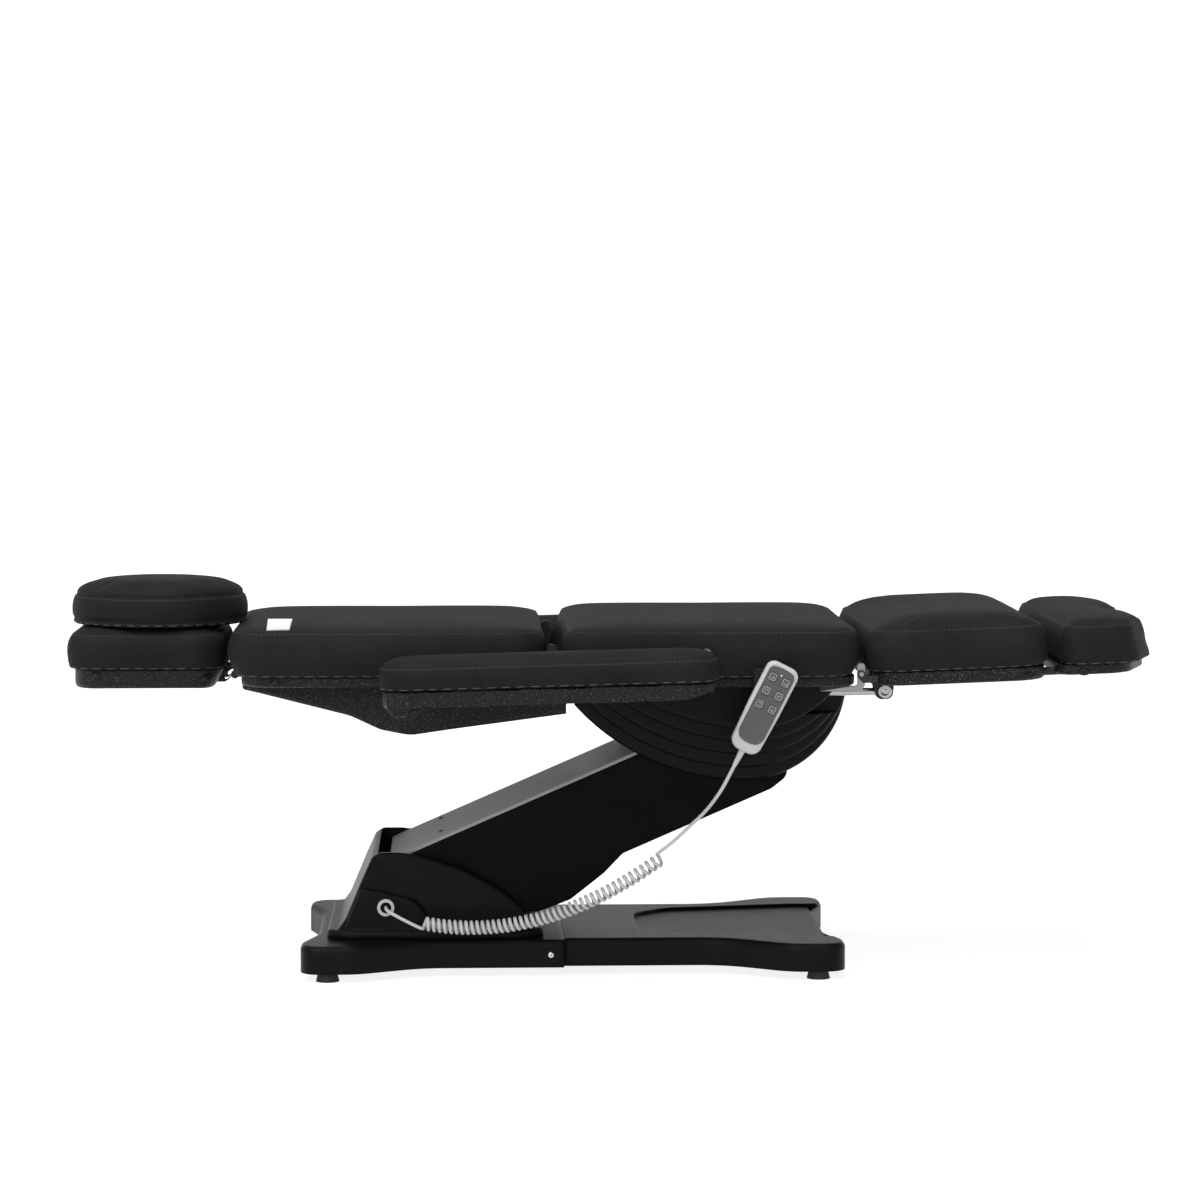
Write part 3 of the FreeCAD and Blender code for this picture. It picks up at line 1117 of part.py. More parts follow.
def route_wire(points, name):
    """Straight runs joined by tangent arcs, each as large as its two runs allow."""
    edges = []
    at = points[0]
    radii = []
    for before, here, after in zip(points, points[1:], points[2:]):
        back = (before - here)
        ahead = (after - here)
        shorter = min(back.Length, ahead.Length)
        turn = math.pi - back.getAngle(ahead)
        radius = 0.45 * shorter / math.tan(turn / 2)
        radii.append(radius)
        reach = 0.45 * shorter
        start = here + back.normalize() * reach
        end = here + ahead.normalize() * reach
        edges.append(Part.LineSegment(at, start).toShape())
        edges.append(arc_edge(start, (here - start).normalize(), end))
        at = end
    edges.append(Part.LineSegment(at, points[-1]).toShape())
    print("%s: arc radii %s mm" % (name, ", ".join("%.0f" % r for r in radii)))
    return Part.Wire(edges)


def cord_node(label, wire, sides=0):
    first = wire.OrderedEdges[0]
    start = first.valueAt(first.FirstParameter)
    way = first.tangentAt(first.FirstParameter)
    tube = doc.addObject("Part::Feature", label)
    tube.Shape = sweep(wire, section_at(start, way, sides))
    area = math.pi * CORD * CORD / 4
    print("%s: %.0f mm long, volume %.3f of its section times its length"
          % (label, wire.Length, tube.Shape.Volume / (area * wire.Length)))
    node(tube, label)


def least_gap():
    """The least gap between two turns of the curls, measured on points."""
    per_turn = 24
    points = [curl_point(i / per_turn) for i in range(int(dim("curl_turns")) * per_turn + 1)]
    least = min(a.distanceToPoint(b) for i, a in enumerate(points)
                for b in points[i + per_turn // 2:i + 3 * per_turn])
    return least - CORD


def cord_pieces():
    way = axis_way(CURL_REAR)
    curl_start = curl_axis(CURL_REAR) - way * CORD
    out_way = axis_way(CURL_FRONT)
    curl_end = curl_axis(CURL_FRONT) + out_way * CORD
    base_route = [GLAND_END, GLAND_END + V(0, -12, 0), V(-384, -207, 113), V(-369, -215, 106),
                  V(-351, -217, 99), curl_start - way * 16, curl_start]
    cord_node("cord_base_lead", route_wire(base_route, "cord_base_lead"))
    cord_node("cord_curls", curl_wire(), sides=6)
    print("cord_curls: least gap to itself %.2f mm" % least_gap())
    boot_way = HANDSET_PLACE.Rotation.multVec(V(0, 0, -1))
    hand_route = [curl_end, curl_end + out_way * 22, V(125, -296, 268), V(145, -309, 289), V(162, -322, 314),
                  V(176, -332, 338), BOOT_END + boot_way * 16, BOOT_END]
    cord_node("cord_handset_lead", route_wire(hand_route, "cord_handset_lead"))


cord_pieces()


def hand_out():
    """Checks every object, then writes each sub-part to its own file."""
    doc.recompute()
    for obj in doc.Objects:
        if "Invalid" in obj.State or "Error" in obj.State:
            raise RuntimeError("%s (%s) failed" % (obj.Name, obj.Label))
    for part in nodes:
        if part.Shape.isNull() or not part.Shape.isValid():
            raise RuntimeError("%s has no valid shape" % part.Label)
    os.makedirs("parts", exist_ok=True)
    for part in nodes:
        part.Shape.exportStep("parts/%s.step" % part.Label)


hand_out()
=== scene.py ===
"""Looks of an electric treatment chair, in metres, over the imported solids."""
import json
import math

import bmesh
import bpy
from mathutils import Matrix, Vector
from mathutils.bvhtree import BVHTree


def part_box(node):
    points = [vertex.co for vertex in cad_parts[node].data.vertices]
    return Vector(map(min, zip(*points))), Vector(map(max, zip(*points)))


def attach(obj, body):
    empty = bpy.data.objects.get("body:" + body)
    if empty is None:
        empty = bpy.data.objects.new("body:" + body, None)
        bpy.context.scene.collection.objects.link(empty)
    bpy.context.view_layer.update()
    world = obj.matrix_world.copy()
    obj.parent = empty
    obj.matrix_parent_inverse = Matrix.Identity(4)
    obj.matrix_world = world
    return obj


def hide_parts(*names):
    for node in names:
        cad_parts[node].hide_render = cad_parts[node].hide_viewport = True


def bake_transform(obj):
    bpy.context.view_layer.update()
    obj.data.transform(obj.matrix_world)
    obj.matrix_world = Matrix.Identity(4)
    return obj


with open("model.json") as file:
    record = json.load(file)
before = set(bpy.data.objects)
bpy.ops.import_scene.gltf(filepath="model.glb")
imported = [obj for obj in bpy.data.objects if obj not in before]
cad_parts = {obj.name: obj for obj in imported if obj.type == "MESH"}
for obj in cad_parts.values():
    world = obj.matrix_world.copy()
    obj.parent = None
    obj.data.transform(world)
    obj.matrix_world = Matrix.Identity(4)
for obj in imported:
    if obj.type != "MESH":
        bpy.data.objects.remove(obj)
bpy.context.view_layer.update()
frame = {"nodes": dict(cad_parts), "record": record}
NODES = frame["nodes"]
scene = bpy.context.scene
scene.view_settings.view_transform = "Standard"


# Camera, with its angles in degrees
LENS = 111.6
SENSOR = 36.0
PHOTO_SIDE = 1200
CAMERA_PLACE = (-0.2547, -6.5, 1.1297)
CAMERA_TILT = 85.604
CAMERA_TURN = -2.1


def make_camera():
    """The camera of the photograph."""
    data = bpy.data.cameras.new("camera")
    data.lens = LENS
    data.sensor_width = SENSOR
    camera = bpy.data.objects.new("camera", data)
    scene.collection.objects.link(camera)
    camera.location = CAMERA_PLACE
    camera.rotation_euler = (math.radians(CAMERA_TILT), 0.0, math.radians(CAMERA_TURN))
    scene.camera = camera
    bpy.context.view_layer.update()
    return camera


CAMERA = make_camera()


def photo_ray(pixel):
    """The camera's place and the direction of a pixel of the photograph."""
    half = PHOTO_SIDE / 2
    slope = SENSOR / 2 / LENS
    local = Vector(((pixel[0] - half) / half * slope, (half - pixel[1]) / half * slope, -1.0))
    place = CAMERA.matrix_world
    return place.translation.copy(), (place.to_3x3() @ local).normalized()


# Meshes and pieces
def link_mesh(name, mesh):
    """A new object of the scene with this mesh."""
    obj = bpy.data.objects.new(name, mesh)
    scene.collection.objects.link(obj)
    return obj


def dress(obj, mat):
    """Gives a piece its one material."""
    obj.data.materials.clear()
    obj.data.materials.append(mat)


def shade(mesh, smooth=True):
    """Shades all faces of a mesh as rounded, or as flat."""
    for face in mesh.polygons:
        face.use_smooth = smooth


def replaced_mesh(obj):
    """The piece's mesh after its modifiers, which go."""
    graph = bpy.context.evaluated_depsgraph_get()
    mesh = bpy.data.meshes.new_from_object(obj.evaluated_get(graph))
    obj.modifiers.clear()
    obj.data = mesh
    return mesh


def add_remesh(obj, voxel):
    """Even faces of this size all over a piece."""
    even = obj.modifiers.new("remesh", "REMESH")
    even.mode = "VOXEL"
    even.voxel_size = voxel


def add_smooth(obj, factor, rounds, group=""):
    """Smooths a piece, or only this group of its points."""
    soft = obj.modifiers.new("soft", "SMOOTH")
    soft.factor = factor
    soft.iterations = rounds
    soft.vertex_group = group


def skin(made, rows):
    """Faces between each row of points and the next."""
    for low, high in zip(rows, rows[1:]):
        for i in range(len(low) - 1):
            made.faces.new((low[i], low[i + 1], high[i + 1], high[i]))


def lathe(profile, steps=24):
    """A turned form about local Z from points of radius and height."""
    made = bmesh.new()
    rings = []
    for radius, height in profile:
        ring = []
        for i in range(steps):
            angle = 2 * math.pi * i / steps
            ring.append(made.verts.new((radius * math.cos(angle), radius * math.sin(angle), height)))
        rings.append(ring)
    skin(made, [ring + ring[:1] for ring in rings])
    made.faces.new(rings[-1])
    return made


def settle(made, name, place, mat, body, smooth=True):
    """Makes a form into a piece that is dressed, in its place and on its body."""
    mesh = bpy.data.meshes.new(name)
    bmesh.ops.recalc_face_normals(made, faces=made.faces[:])
    made.to_mesh(mesh)
    made.free()
    shade(mesh, smooth)
    piece = link_mesh(name, mesh)
    piece.matrix_world = place
    dress(piece, mat)
    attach(piece, body)


# Materials
CLOUD_SCALE = 9.0
NOISE_RANGE = (0.3, 0.7)
FLECK_GLINT_SCALE = 0.9
FLECK_GLINT_RANGE = (0.6, 0.72)
GLOSS_RANGE = (-0.07, 0.09)
GRAIN_STRENGTH = 0.55
WAVE_SCALE = 16.0
WAVE_STRENGTH = 0.5


def nodes_of(name):
    """A new material, its shader, a maker of nodes and a maker of links."""
    mat = bpy.data.materials.new(name)
    mat.use_nodes = True
    tree = mat.node_tree

    def add(kind, **inputs):
        made = tree.nodes.new(kind)
        for key, value in inputs.items():
            made.inputs[key.replace("_", " ")].default_value = value
        return made

    return mat, tree.nodes["Principled BSDF"], add, tree.links.new


def spread_over(add, link, source, low, high):
    """The middle range of a noise stretched to a range of numbers."""
    first, last = NOISE_RANGE
    made = add("ShaderNodeMapRange", From_Min=first, From_Max=last, To_Min=low, To_Max=high)
    link(source, made.inputs["Value"])
    return made.outputs["Result"]


def surface(name, colour, rough, grain, depth, cells=False, spread=0.2, fleck_and_glint=None, waves=0.0, metallic=0.0,
            specular=0.4, edge=0.0, stretch=None):
    """A moulded, woven or metal surface: clouded colour, uneven gloss and a raised grain.

    The grain has this many cells a metre and this depth. fleck_and_glint is a second colour in fine specks: a
    speckle in the housing's plastic, and painted glints of the pebbled grain on the pans. Waves are soft swells
    of this height, and edges are lit as if rounded to the radius of edge.
    """
    mat, shader, add, link = nodes_of(name)
    shader.inputs["Metallic"].default_value = metallic
    shader.inputs["Specular IOR Level"].default_value = specular
    where = add("ShaderNodeTexCoord").outputs["Object"]
    fine_where = where
    if stretch:
        mapping = add("ShaderNodeMapping", Scale=stretch)
        link(where, mapping.inputs["Vector"])
        fine_where = mapping.outputs["Vector"]
    cloud = add("ShaderNodeTexNoise", Scale=CLOUD_SCALE, Detail=4.0, Roughness=0.6)
    link(where, cloud.inputs["Vector"])
    if cells:
        fine = add("ShaderNodeTexVoronoi", Scale=grain, Randomness=1.0)
        height = fine.outputs["Distance"]
    else:
        fine = add("ShaderNodeTexNoise", Scale=grain, Detail=5.0, Roughness=0.62)
        height = fine.outputs["Fac"]
    link(fine_where, fine.inputs["Vector"])
    tone = add("ShaderNodeMix")
    tone.data_type = "RGBA"
    tone.inputs["A"].default_value = tuple(c * (1 - spread) for c in colour) + (1.0,)
    tone.inputs["B"].default_value = tuple(c * (1 + spread) for c in colour) + (1.0,)
    link(spread_over(add, link, cloud.outputs["Fac"], 0.0, 1.0), tone.inputs["Factor"])
    painted = tone.outputs["Result"]
    # Fine specks of a second colour: a speckle in the housing's plastic, and painted glints of the grain on the
    # pans.
    if fleck_and_glint:
        speck = add("ShaderNodeTexNoise", Scale=grain * FLECK_GLINT_SCALE, Detail=2.0)
        link(where, speck.inputs["Vector"])
        fleck_glint_mix = add("ShaderNodeMix")
        fleck_glint_mix.data_type = "RGBA"
        fleck_glint_mix.inputs["B"].default_value = tuple(fleck_and_glint) + (1.0,)
        gate = add("ShaderNodeMapRange", From_Min=FLECK_GLINT_RANGE[0], From_Max=FLECK_GLINT_RANGE[1])
        link(speck.outputs["Fac"], gate.inputs["Value"])
        link(gate.outputs["Result"], fleck_glint_mix.inputs["Factor"])
        link(painted, fleck_glint_mix.inputs["A"])
        painted = fleck_glint_mix.outputs["Result"]
    link(painted, shader.inputs["Base Color"])
    gloss = spread_over(add, link, fine.outputs[0], rough + GLOSS_RANGE[0], rough + GLOSS_RANGE[1])
    link(gloss, shader.inputs["Roughness"])
    bump = add("ShaderNodeBump", Strength=GRAIN_STRENGTH, Distance=depth)
    link(height, bump.inputs["Height"])
    if waves:
        soft = add("ShaderNodeTexNoise", Scale=WAVE_SCALE, Detail=2.0, Distortion=0.8)
        link(where, soft.inputs["Vector"])
        swell = add("ShaderNodeBump", Strength=WAVE_STRENGTH, Distance=waves)
        link(soft.outputs["Fac"], swell.inputs["Height"])
        link(swell.outputs["Normal"], bump.inputs["Normal"])
    if edge:
        rounded = add("ShaderNodeBevel", Radius=edge)
        link(rounded.outputs["Normal"], bump.inputs["Normal"])
    link(bump.outputs["Normal"], shader.inputs["Normal"])
    return mat


LOOKS = {
    "upholstery": dict(colour=(0.0105, 0.0105, 0.0108), rough=0.6, grain=900.0, depth=0.0005, cells=True,
                       specular=0.06, waves=0.003),
    # The pans' light fleck colour is painted glints of their pebbled grain.
    "pan_plastic": dict(colour=(0.0025, 0.0025, 0.0026), rough=0.34, grain=420.0, depth=0.0022, cells=True,
                        fleck_and_glint=(0.08, 0.08, 0.082), specular=0.2, edge=0.003),
    "housing_plastic": dict(colour=(0.0022, 0.0022, 0.0023), rough=0.36, grain=380.0, depth=0.0009,
                            fleck_and_glint=(0.005, 0.005, 0.0052), specular=0.04, edge=0.006),
    "pod_plastic": dict(colour=(0.0022, 0.0022, 0.0023), rough=0.32, grain=650.0, depth=0.0004, specular=0.09,
                        edge=0.004),
    "lid_plastic": dict(colour=(0.21, 0.21, 0.214), rough=0.5, grain=700.0, depth=0.0004, specular=0.3,
                        spread=0.05),
    "steel": dict(colour=(0.26, 0.26, 0.265), rough=0.34, grain=160.0, depth=0.0002, metallic=1.0,
                  stretch=(0.2, 1.0, 6.0)),
    "painted_steel": dict(colour=(0.010, 0.010, 0.0105), rough=0.48, grain=900.0, depth=0.0002, specular=0.3),
    "motor_case": dict(colour=(0.03, 0.03, 0.032), rough=0.5, grain=600.0, depth=0.0003),
    "rod_steel": dict(colour=(0.36, 0.36, 0.365), rough=0.24, grain=120.0, depth=0.0001, metallic=1.0,
                      stretch=(0.2, 3.0, 3.0)),
    "bush_bronze": dict(colour=(0.42, 0.28, 0.12), rough=0.35, grain=300.0, depth=0.0002, metallic=1.0),
    "rubber": dict(colour=(0.010, 0.010, 0.010), rough=0.7, grain=500.0, depth=0.0006),
    "light_plastic": dict(colour=(0.38, 0.38, 0.385), rough=0.42, grain=800.0, depth=0.0002, spread=0.06),
    "keypad": dict(colour=(0.058, 0.058, 0.061), rough=0.55, grain=900.0, depth=0.0002, spread=0.08),
    "key_rubber": dict(colour=(0.058, 0.058, 0.061), rough=0.6, grain=900.0, depth=0.0002, spread=0.08),
    "cord_jacket": dict(colour=(0.40, 0.40, 0.405), rough=0.42, grain=500.0, depth=0.0002, spread=0.08),
}
MATERIALS = {name: surface(name, **look) for name, look in LOOKS.items()}
MARK_INK = surface("mark_ink", (0.50, 0.50, 0.51), rough=0.5, grain=900.0, depth=0.0001, spread=0.06)
TAG_CLOTH = surface("tag_cloth", (0.62, 0.62, 0.62), rough=0.7, grain=1400.0, depth=0.0003, cells=True,
                    spread=0.04)
THREAD = surface("thread", (0.018, 0.018, 0.019), rough=0.6, grain=1500.0, depth=0.0003)
# Lighter than the thread: painted highlight dashes along each cushion's base, where the cover's edge tucks into
# the pan.
EDGE_HIGHLIGHT_DASHES = surface("edge_highlight_dashes", (0.05, 0.05, 0.052), rough=0.5, grain=1500.0, depth=0.0003)
# Near-black, as painted shade in the screws' cross recesses and in the gland's hollow; the arm plate's plugs
# are drawn in it too.
RECESS = surface("recess", (0.004, 0.004, 0.004), rough=0.7, grain=600.0, depth=0.0002, specular=0.1)
BASE_PLASTIC = surface("base_plastic", (0.0022, 0.0022, 0.0023), rough=0.33, grain=380.0, depth=0.0011,
                       specular=0.085, edge=0.012)
BRIGHT_STEEL = surface("bright_steel", (0.62, 0.62, 0.63), rough=0.2, grain=160.0, depth=0.0001, metallic=1.0)
LAMP = surface("lamp", (0.8, 0.8, 0.82), rough=0.25, grain=900.0, depth=0.0001, spread=0.05)

for part in frame["record"]["subparts"]:
    dress(NODES[part["node"]], MATERIALS[part["material_slot"]])


# Floor, sky and light, where a stop of the sky is its place and its grey, and a light's size is in degrees
FLOOR_REACH = 40.0
FLOOR_GLOW = 0.86
SKY_STOPS = [(0.08, 1.0), (0.35, 0.42)]
SKY_STRENGTH = 1.05
LIGHTS = [("key", (0.2, -0.25, 0.0), 3.2, 40.0), ("fill", (0.9, -0.5, 0.0), 1.2, 60.0)]


def make_floor():
    """The pale floor of the studio."""
    reach = FLOOR_REACH
    corners = [(-reach, -reach, 0), (reach, -reach, 0), (reach, reach, 0), (-reach, reach, 0)]
    mesh = bpy.data.meshes.new("floor")
    mesh.from_pydata(corners, [], [(0, 1, 2, 3)])
    floor = link_mesh("floor", mesh)
    pale = surface("floor_pale", (0.20, 0.20, 0.20), rough=0.75, grain=60.0, depth=0.0002, spread=0.01)
    glow = pale.node_tree.nodes["Principled BSDF"].inputs
    glow["Emission Color"].default_value = (1.0, 1.0, 1.0, 1.0)
    glow["Emission Strength"].default_value = FLOOR_GLOW
    mesh.materials.append(pale)


def make_sky():
    """A sky that is white at its foot and grey overhead."""
    world = bpy.data.worlds.new("studio")
    scene.world = world
    world.use_nodes = True
    tree = world.node_tree
    back = tree.nodes["Background"]
    where = tree.nodes.new("ShaderNodeTexCoord")
    split = tree.nodes.new("ShaderNodeSeparateXYZ")
    ramp = tree.nodes.new("ShaderNodeValToRGB")
    for stop, (position, grey) in zip(ramp.color_ramp.elements, SKY_STOPS):
        stop.position = position
        stop.color = (grey, grey, grey, 1.0)
    tree.links.new(where.outputs["Generated"], split.inputs["Vector"])
    tree.links.new(split.outputs["Z"], ramp.inputs["Fac"])
    tree.links.new(ramp.outputs["Color"], back.inputs["Color"])
    back.inputs["Strength"].default_value = SKY_STRENGTH


def make_lights():
    """Two broad suns."""
    for name, turn, power, size in LIGHTS:
        light = bpy.data.lights.new(name, "SUN")
        light.energy = power
        light.angle = math.radians(size)
        lamp = bpy.data.objects.new(name, light)
        lamp.rotation_euler = turn
        scene.collection.objects.link(lamp)


make_floor()
make_sky()
make_lights()


# Curly cord of the handset, as one lead with curls from the gland and one lead up to the boot
CORD = 0.006
TUBE_SIDES = 3
CURL_TURNS = 44
CURL_STEPS = 6
CURL_RADIUS = 0.0095
INSIDE_SPLINE = 1.035
FIRST_TURN = 0.99
LAST_TURN = 43.51
CURL_SMOOTH = 3
LEAD_SMOOTH = 12
CURL_LEAVE = 0.024
CURL_SWING = 0.6
LEAD_STEP = 0.012
BOOT_STEP = 0.016
GLAND_LEAD = [(-0.390, -0.178, 0.116), (-0.390, -0.192, 0.116), (-0.385, -0.206, 0.1135),
              (-0.374, -0.212, 0.108), (-0.356, -0.2135, 0.0985), (-0.338, -0.2145, 0.0895)]
CURL_AXIS = [(-0.334, -0.214, 0.0960), (-0.124, -0.214, 0.0526), (0.080, -0.280, 0.2160)]
UPPER_LEAD = [(0.128, -0.297, 0.274), (0.146, -0.309, 0.293), (0.162, -0.322, 0.315), (0.176, -0.332, 0.338)]
BOOT_TIP = Vector((0.19597, -0.337, 0.37777))
BOOT_WAY = Vector((-0.454, 0.0, -0.891))


def nurbs(points, steps):
    """A curve with one open smooth spline that has these control points."""
    curve = bpy.data.curves.new("route", "CURVE")
    curve.dimensions = "3D"
    curve.resolution_u = steps
    spline = curve.splines.new("NURBS")
    spline.points.add(len(points) - 1)
    for at, point in zip(spline.points, points):
        at.co = (*point, 1.0)
    spline.order_u = 3
    spline.use_endpoint_u = True
    return curve


def spline_points(points, steps):
    """Points read from the smooth spline of these control points."""
    holder = bpy.data.objects.new("route", nurbs(points, steps))
    mesh = bpy.data.meshes.new_from_object(holder)
    found = [v.co.copy() for v in mesh.vertices]
    bpy.data.meshes.remove(mesh)
    bpy.data.objects.remove(holder)
    return found


def tube(name, points, steps):
    """A round mesh tube, as thick as the cord, along the smooth spline of these control points."""
    curve = nurbs(points, steps)
    curve.bevel_depth = CORD / 2
    curve.bevel_resolution = TUBE_SIDES
    curve.use_fill_caps = True
    holder = bpy.data.objects.new("tube", curve)
    mesh = bpy.data.meshes.new_from_object(holder)
    bpy.data.objects.remove(holder)
    shade(mesh)
    mesh.name = name
    return link_mesh(name, mesh)


def helix_round(axis):
    """Control points of the curls round the points of their axis, from a low point to a high one."""
    found = []
    last = len(axis) - 1
    radius = CURL_RADIUS * INSIDE_SPLINE
    for i, middle in enumerate(axis):
        turn = CURL_TURNS * i / last
        if not FIRST_TURN < turn < LAST_TURN:
            continue
        way = (axis[min(i + 1, last)] - axis[max(i - 1, 0)]).normalized()
        level = Vector((0, 1, 0)).cross(way).normalized()
        beside = way.cross(level)
        angle = 2 * math.pi * turn
        found.append(middle + level * (radius * math.cos(angle)) + beside * (radius * math.sin(angle)))
    return found


def make_cord():
    """The cord's two lengths: with its curls from the base to the arm, and from the arm to the seat."""
    axis = spline_points(CURL_AXIS, CURL_TURNS * CURL_STEPS)
    last_way = (axis[-1] - axis[-2]).normalized()
    curls = helix_round(axis)
    curl_end = curls[-1] + last_way * CURL_LEAVE + (curls[-1] - curls[-2]) * CURL_SWING
    curled = [Vector(p) for p in GLAND_LEAD] + curls + [curl_end - last_way * LEAD_STEP, curl_end]
    piece = tube("handset_cord_curls", curled, CURL_SMOOTH)
    dress(piece, MATERIALS["cord_jacket"])
    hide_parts("cord_base_lead", "cord_curls")
    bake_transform(piece)
    spline_points(curled, CURL_SMOOTH)
    upper = [curl_end, curl_end + last_way * LEAD_STEP] + [Vector(p) for p in UPPER_LEAD]
    upper += [BOOT_TIP + BOOT_WAY * BOOT_STEP, BOOT_TIP]
    lead = tube("handset_cord_lead", upper, LEAD_SMOOTH)
    dress(lead, MATERIALS["cord_jacket"])
    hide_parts("cord_handset_lead")
    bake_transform(lead)
    spline_points(upper, LEAD_SMOOTH)


make_cord()


# Cushions
PUFF_FRAMES = 16
EASE_START = 0.002
EASE_RUN = 0.008
EASE_FACTOR = 0.6
EASE_ROUNDS = 40
FOOT_TAPER = 0.040
DRAW_START = 0.004
DRAW_RUN = 0.02
BASE_HELD = 0.006
HELD_BAND = (-0.8, 0.45)
SEAM_WANDER = 0.0012
WANDER_WAVES = (23.0, 17.0)
GROOVE_HALF = 0.0032
GROOVE_DEPTH = 0.0019
STITCH_DROP = 0.0045
STITCH_PITCH = 0.0075
HIGHLIGHT_DASH_RISE = 0.0035
HIGHLIGHT_DASH_PITCH = 0.024
STITCH_LONG = 0.62
STITCH_HALF = 0.0008
STITCH_RISE = 0.0006
STITCH_ROWS = [(-0.5, 0.35), (-0.3, 1.0), (0.3, 1.0), (0.5, 0.35)]
STITCH_SECTION = [(-1, -0.4), (-0.6, 1), (0.6, 1), (1, -0.4)]
SHORTEST_RUN = 1e-7
LONGEST_RUN = 0.05
UNMOVED = 1e-9


def smooth_step(value):
    """A soft step from 0 to 1."""
    value = max(0.0, min(1.0, value))
    return value * value * (3 - 2 * value)


def puff(obj, cap):
    """Blows the cover up from inside, with its base and its seams held, and lets no point move far."""
    rest = [v.co.copy() for v in obj.data.vertices]
    cloth = obj.modifiers.new("puff", "CLOTH")
    settings = cloth.settings
    settings.quality = 3
    settings.mass = 0.3
    settings.tension_stiffness = 18.0
    settings.compression_stiffness = 18.0
    settings.shear_stiffness = 6.0
    settings.bending_stiffness = 1.5
    settings.use_pressure = True
    settings.uniform_pressure_force = 4.0
    settings.effector_weights.gravity = 0.0
    settings.vertex_group_mass = "hold"
    cloth.collision_settings.use_collision = False
    cloth.point_cache.frame_start = 1
    cloth.point_cache.frame_end = PUFF_FRAMES
    for number in range(1, PUFF_FRAMES + 1):
        scene.frame_set(number)
    graph = bpy.context.evaluated_depsgraph_get()
    blown = obj.evaluated_get(graph).data
    moved = [v.co.copy() for v in blown.vertices]
    obj.modifiers.clear()
    scene.frame_set(1)
    for vertex, old, new in zip(obj.data.vertices, rest, moved):
        step = new - old
        far = step.length
        if far > UNMOVED:
            step *= cap * math.tanh(far / cap) / far
        vertex.co = old + step


def ease_crown(obj, heights, seam):
    """Smooths the top of a cushion, above its upper seam, into one soft crown."""
    top = obj.vertex_groups.new(name="top")
    for index, height in enumerate(heights):
        share = smooth_step((height - seam - EASE_START) / EASE_RUN)
        if share > 0:
            top.add([index], share, "REPLACE")
    add_smooth(obj, EASE_FACTOR, EASE_ROUNDS, "top")
    replaced_mesh(obj)
    obj.vertex_groups.clear()


def move_ends(mesh, ends, foot=0.0):
    """Moves the head end and the foot end of a mesh along X, and what lies between in proportion.

    Above zero, foot is the height over which the move grows from nothing at the bottom to its full length.
    """
    places = [v.co.x for v in mesh.vertices]
    start = min(places)
    span = max(places) - start
    bottom = min(v.co.z for v in mesh.vertices)
    for vertex in mesh.vertices:
        share = (vertex.co.x - start) / span
        full = smooth_step((vertex.co.z - bottom) / foot) if foot else 1.0
        vertex.co.x += (ends[0] * (1 - share) + ends[1] * share) * full


def flatten_crown(mesh, origin, up, seam, crown, box):
    """Brings the dome above the upper seam to this share of its height, and boxier at a higher power."""
    heights = [(v.co - origin).dot(up) - seam for v in mesh.vertices]
    top = max(heights)
    for vertex, height in zip(mesh.vertices, heights):
        if height > 0:
            left = 1 - height / top
            vertex.co += up * (crown * top * (1 - left ** box) - height)


def press_seams(mesh, origin, up, seams):
    """Presses a groove that wanders a little into a cushion along each of its seams."""
    normals = [v.normal.copy() for v in mesh.vertices]
    for vertex, normal in zip(mesh.vertices, normals):
        height = (vertex.co - origin).dot(up)
        wander = SEAM_WANDER * math.sin(vertex.co.x * WANDER_WAVES[0] + vertex.co.y * WANDER_WAVES[1])
        for seam in seams:
            off = (height - seam - wander) / GROOVE_HALF
            vertex.co -= normal * (GROOVE_DEPTH * math.exp(-off * off))


def pad(name, node, body, origin, up, low, seams, voxel, draw, cap, crown=1.0, box=2, ends=(0.0, 0.0),
        foot=FOOT_TAPER):
    """A cushion in the place of its solid, shaped, blown up by at most cap, then sewn in at its seams.

    Heights run along up from origin, low is the height of the cushion's base, draw is how far its sides are
    drawn in first, and crown and box flatten its top.
    """
    obj = link_mesh(name, NODES[node].data.copy())
    add_remesh(obj, voxel)
    mesh = replaced_mesh(obj)
    move_ends(mesh, ends, foot)
    ease_crown(obj, [(v.co - origin).dot(up) for v in mesh.vertices], seams[-1])
    mesh = obj.data
    if crown != 1.0:
        flatten_crown(mesh, origin, up, seams[-1], crown, box)
    heights = [(v.co - origin).dot(up) - low for v in mesh.vertices]
    normals = [v.normal.copy() for v in mesh.vertices]
    for vertex, height, normal in zip(mesh.vertices, heights, normals):
        vertex.co -= normal * draw * smooth_step((height - DRAW_START) / DRAW_RUN)
    under, over = [share * voxel for share in HELD_BAND]
    hold = obj.vertex_groups.new(name="hold")
    held = [i for i, height in enumerate(heights)
            if height < BASE_HELD or any(under < height + low - seam < over for seam in seams)]
    hold.add(held, 1.0, "REPLACE")
    puff(obj, cap)
    obj.vertex_groups.clear()
    finer = obj.modifiers.new("finer", "SUBSURF")
    finer.levels = 1
    finer.render_levels = 1
    mesh = replaced_mesh(obj)
    press_seams(mesh, origin, up, seams)
    shade(mesh)
    dress(obj, MATERIALS["upholstery"])
    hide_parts(node)
    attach(obj, body)
    for number, seam in enumerate(seams, start=1):
        level = origin + up * (seam - STITCH_DROP)
        stitches("%s_stitch_%d" % (name, number), obj, body, level, up, STITCH_PITCH, THREAD)
    # Light dashes along the base: painted highlight of the cover's edge where it tucks into the pan.
    stitches(name + "_highlight_dashes", obj, body, origin + up * (low + HIGHLIGHT_DASH_RISE), up, HIGHLIGHT_DASH_PITCH, EDGE_HIGHLIGHT_DASHES)
    return obj


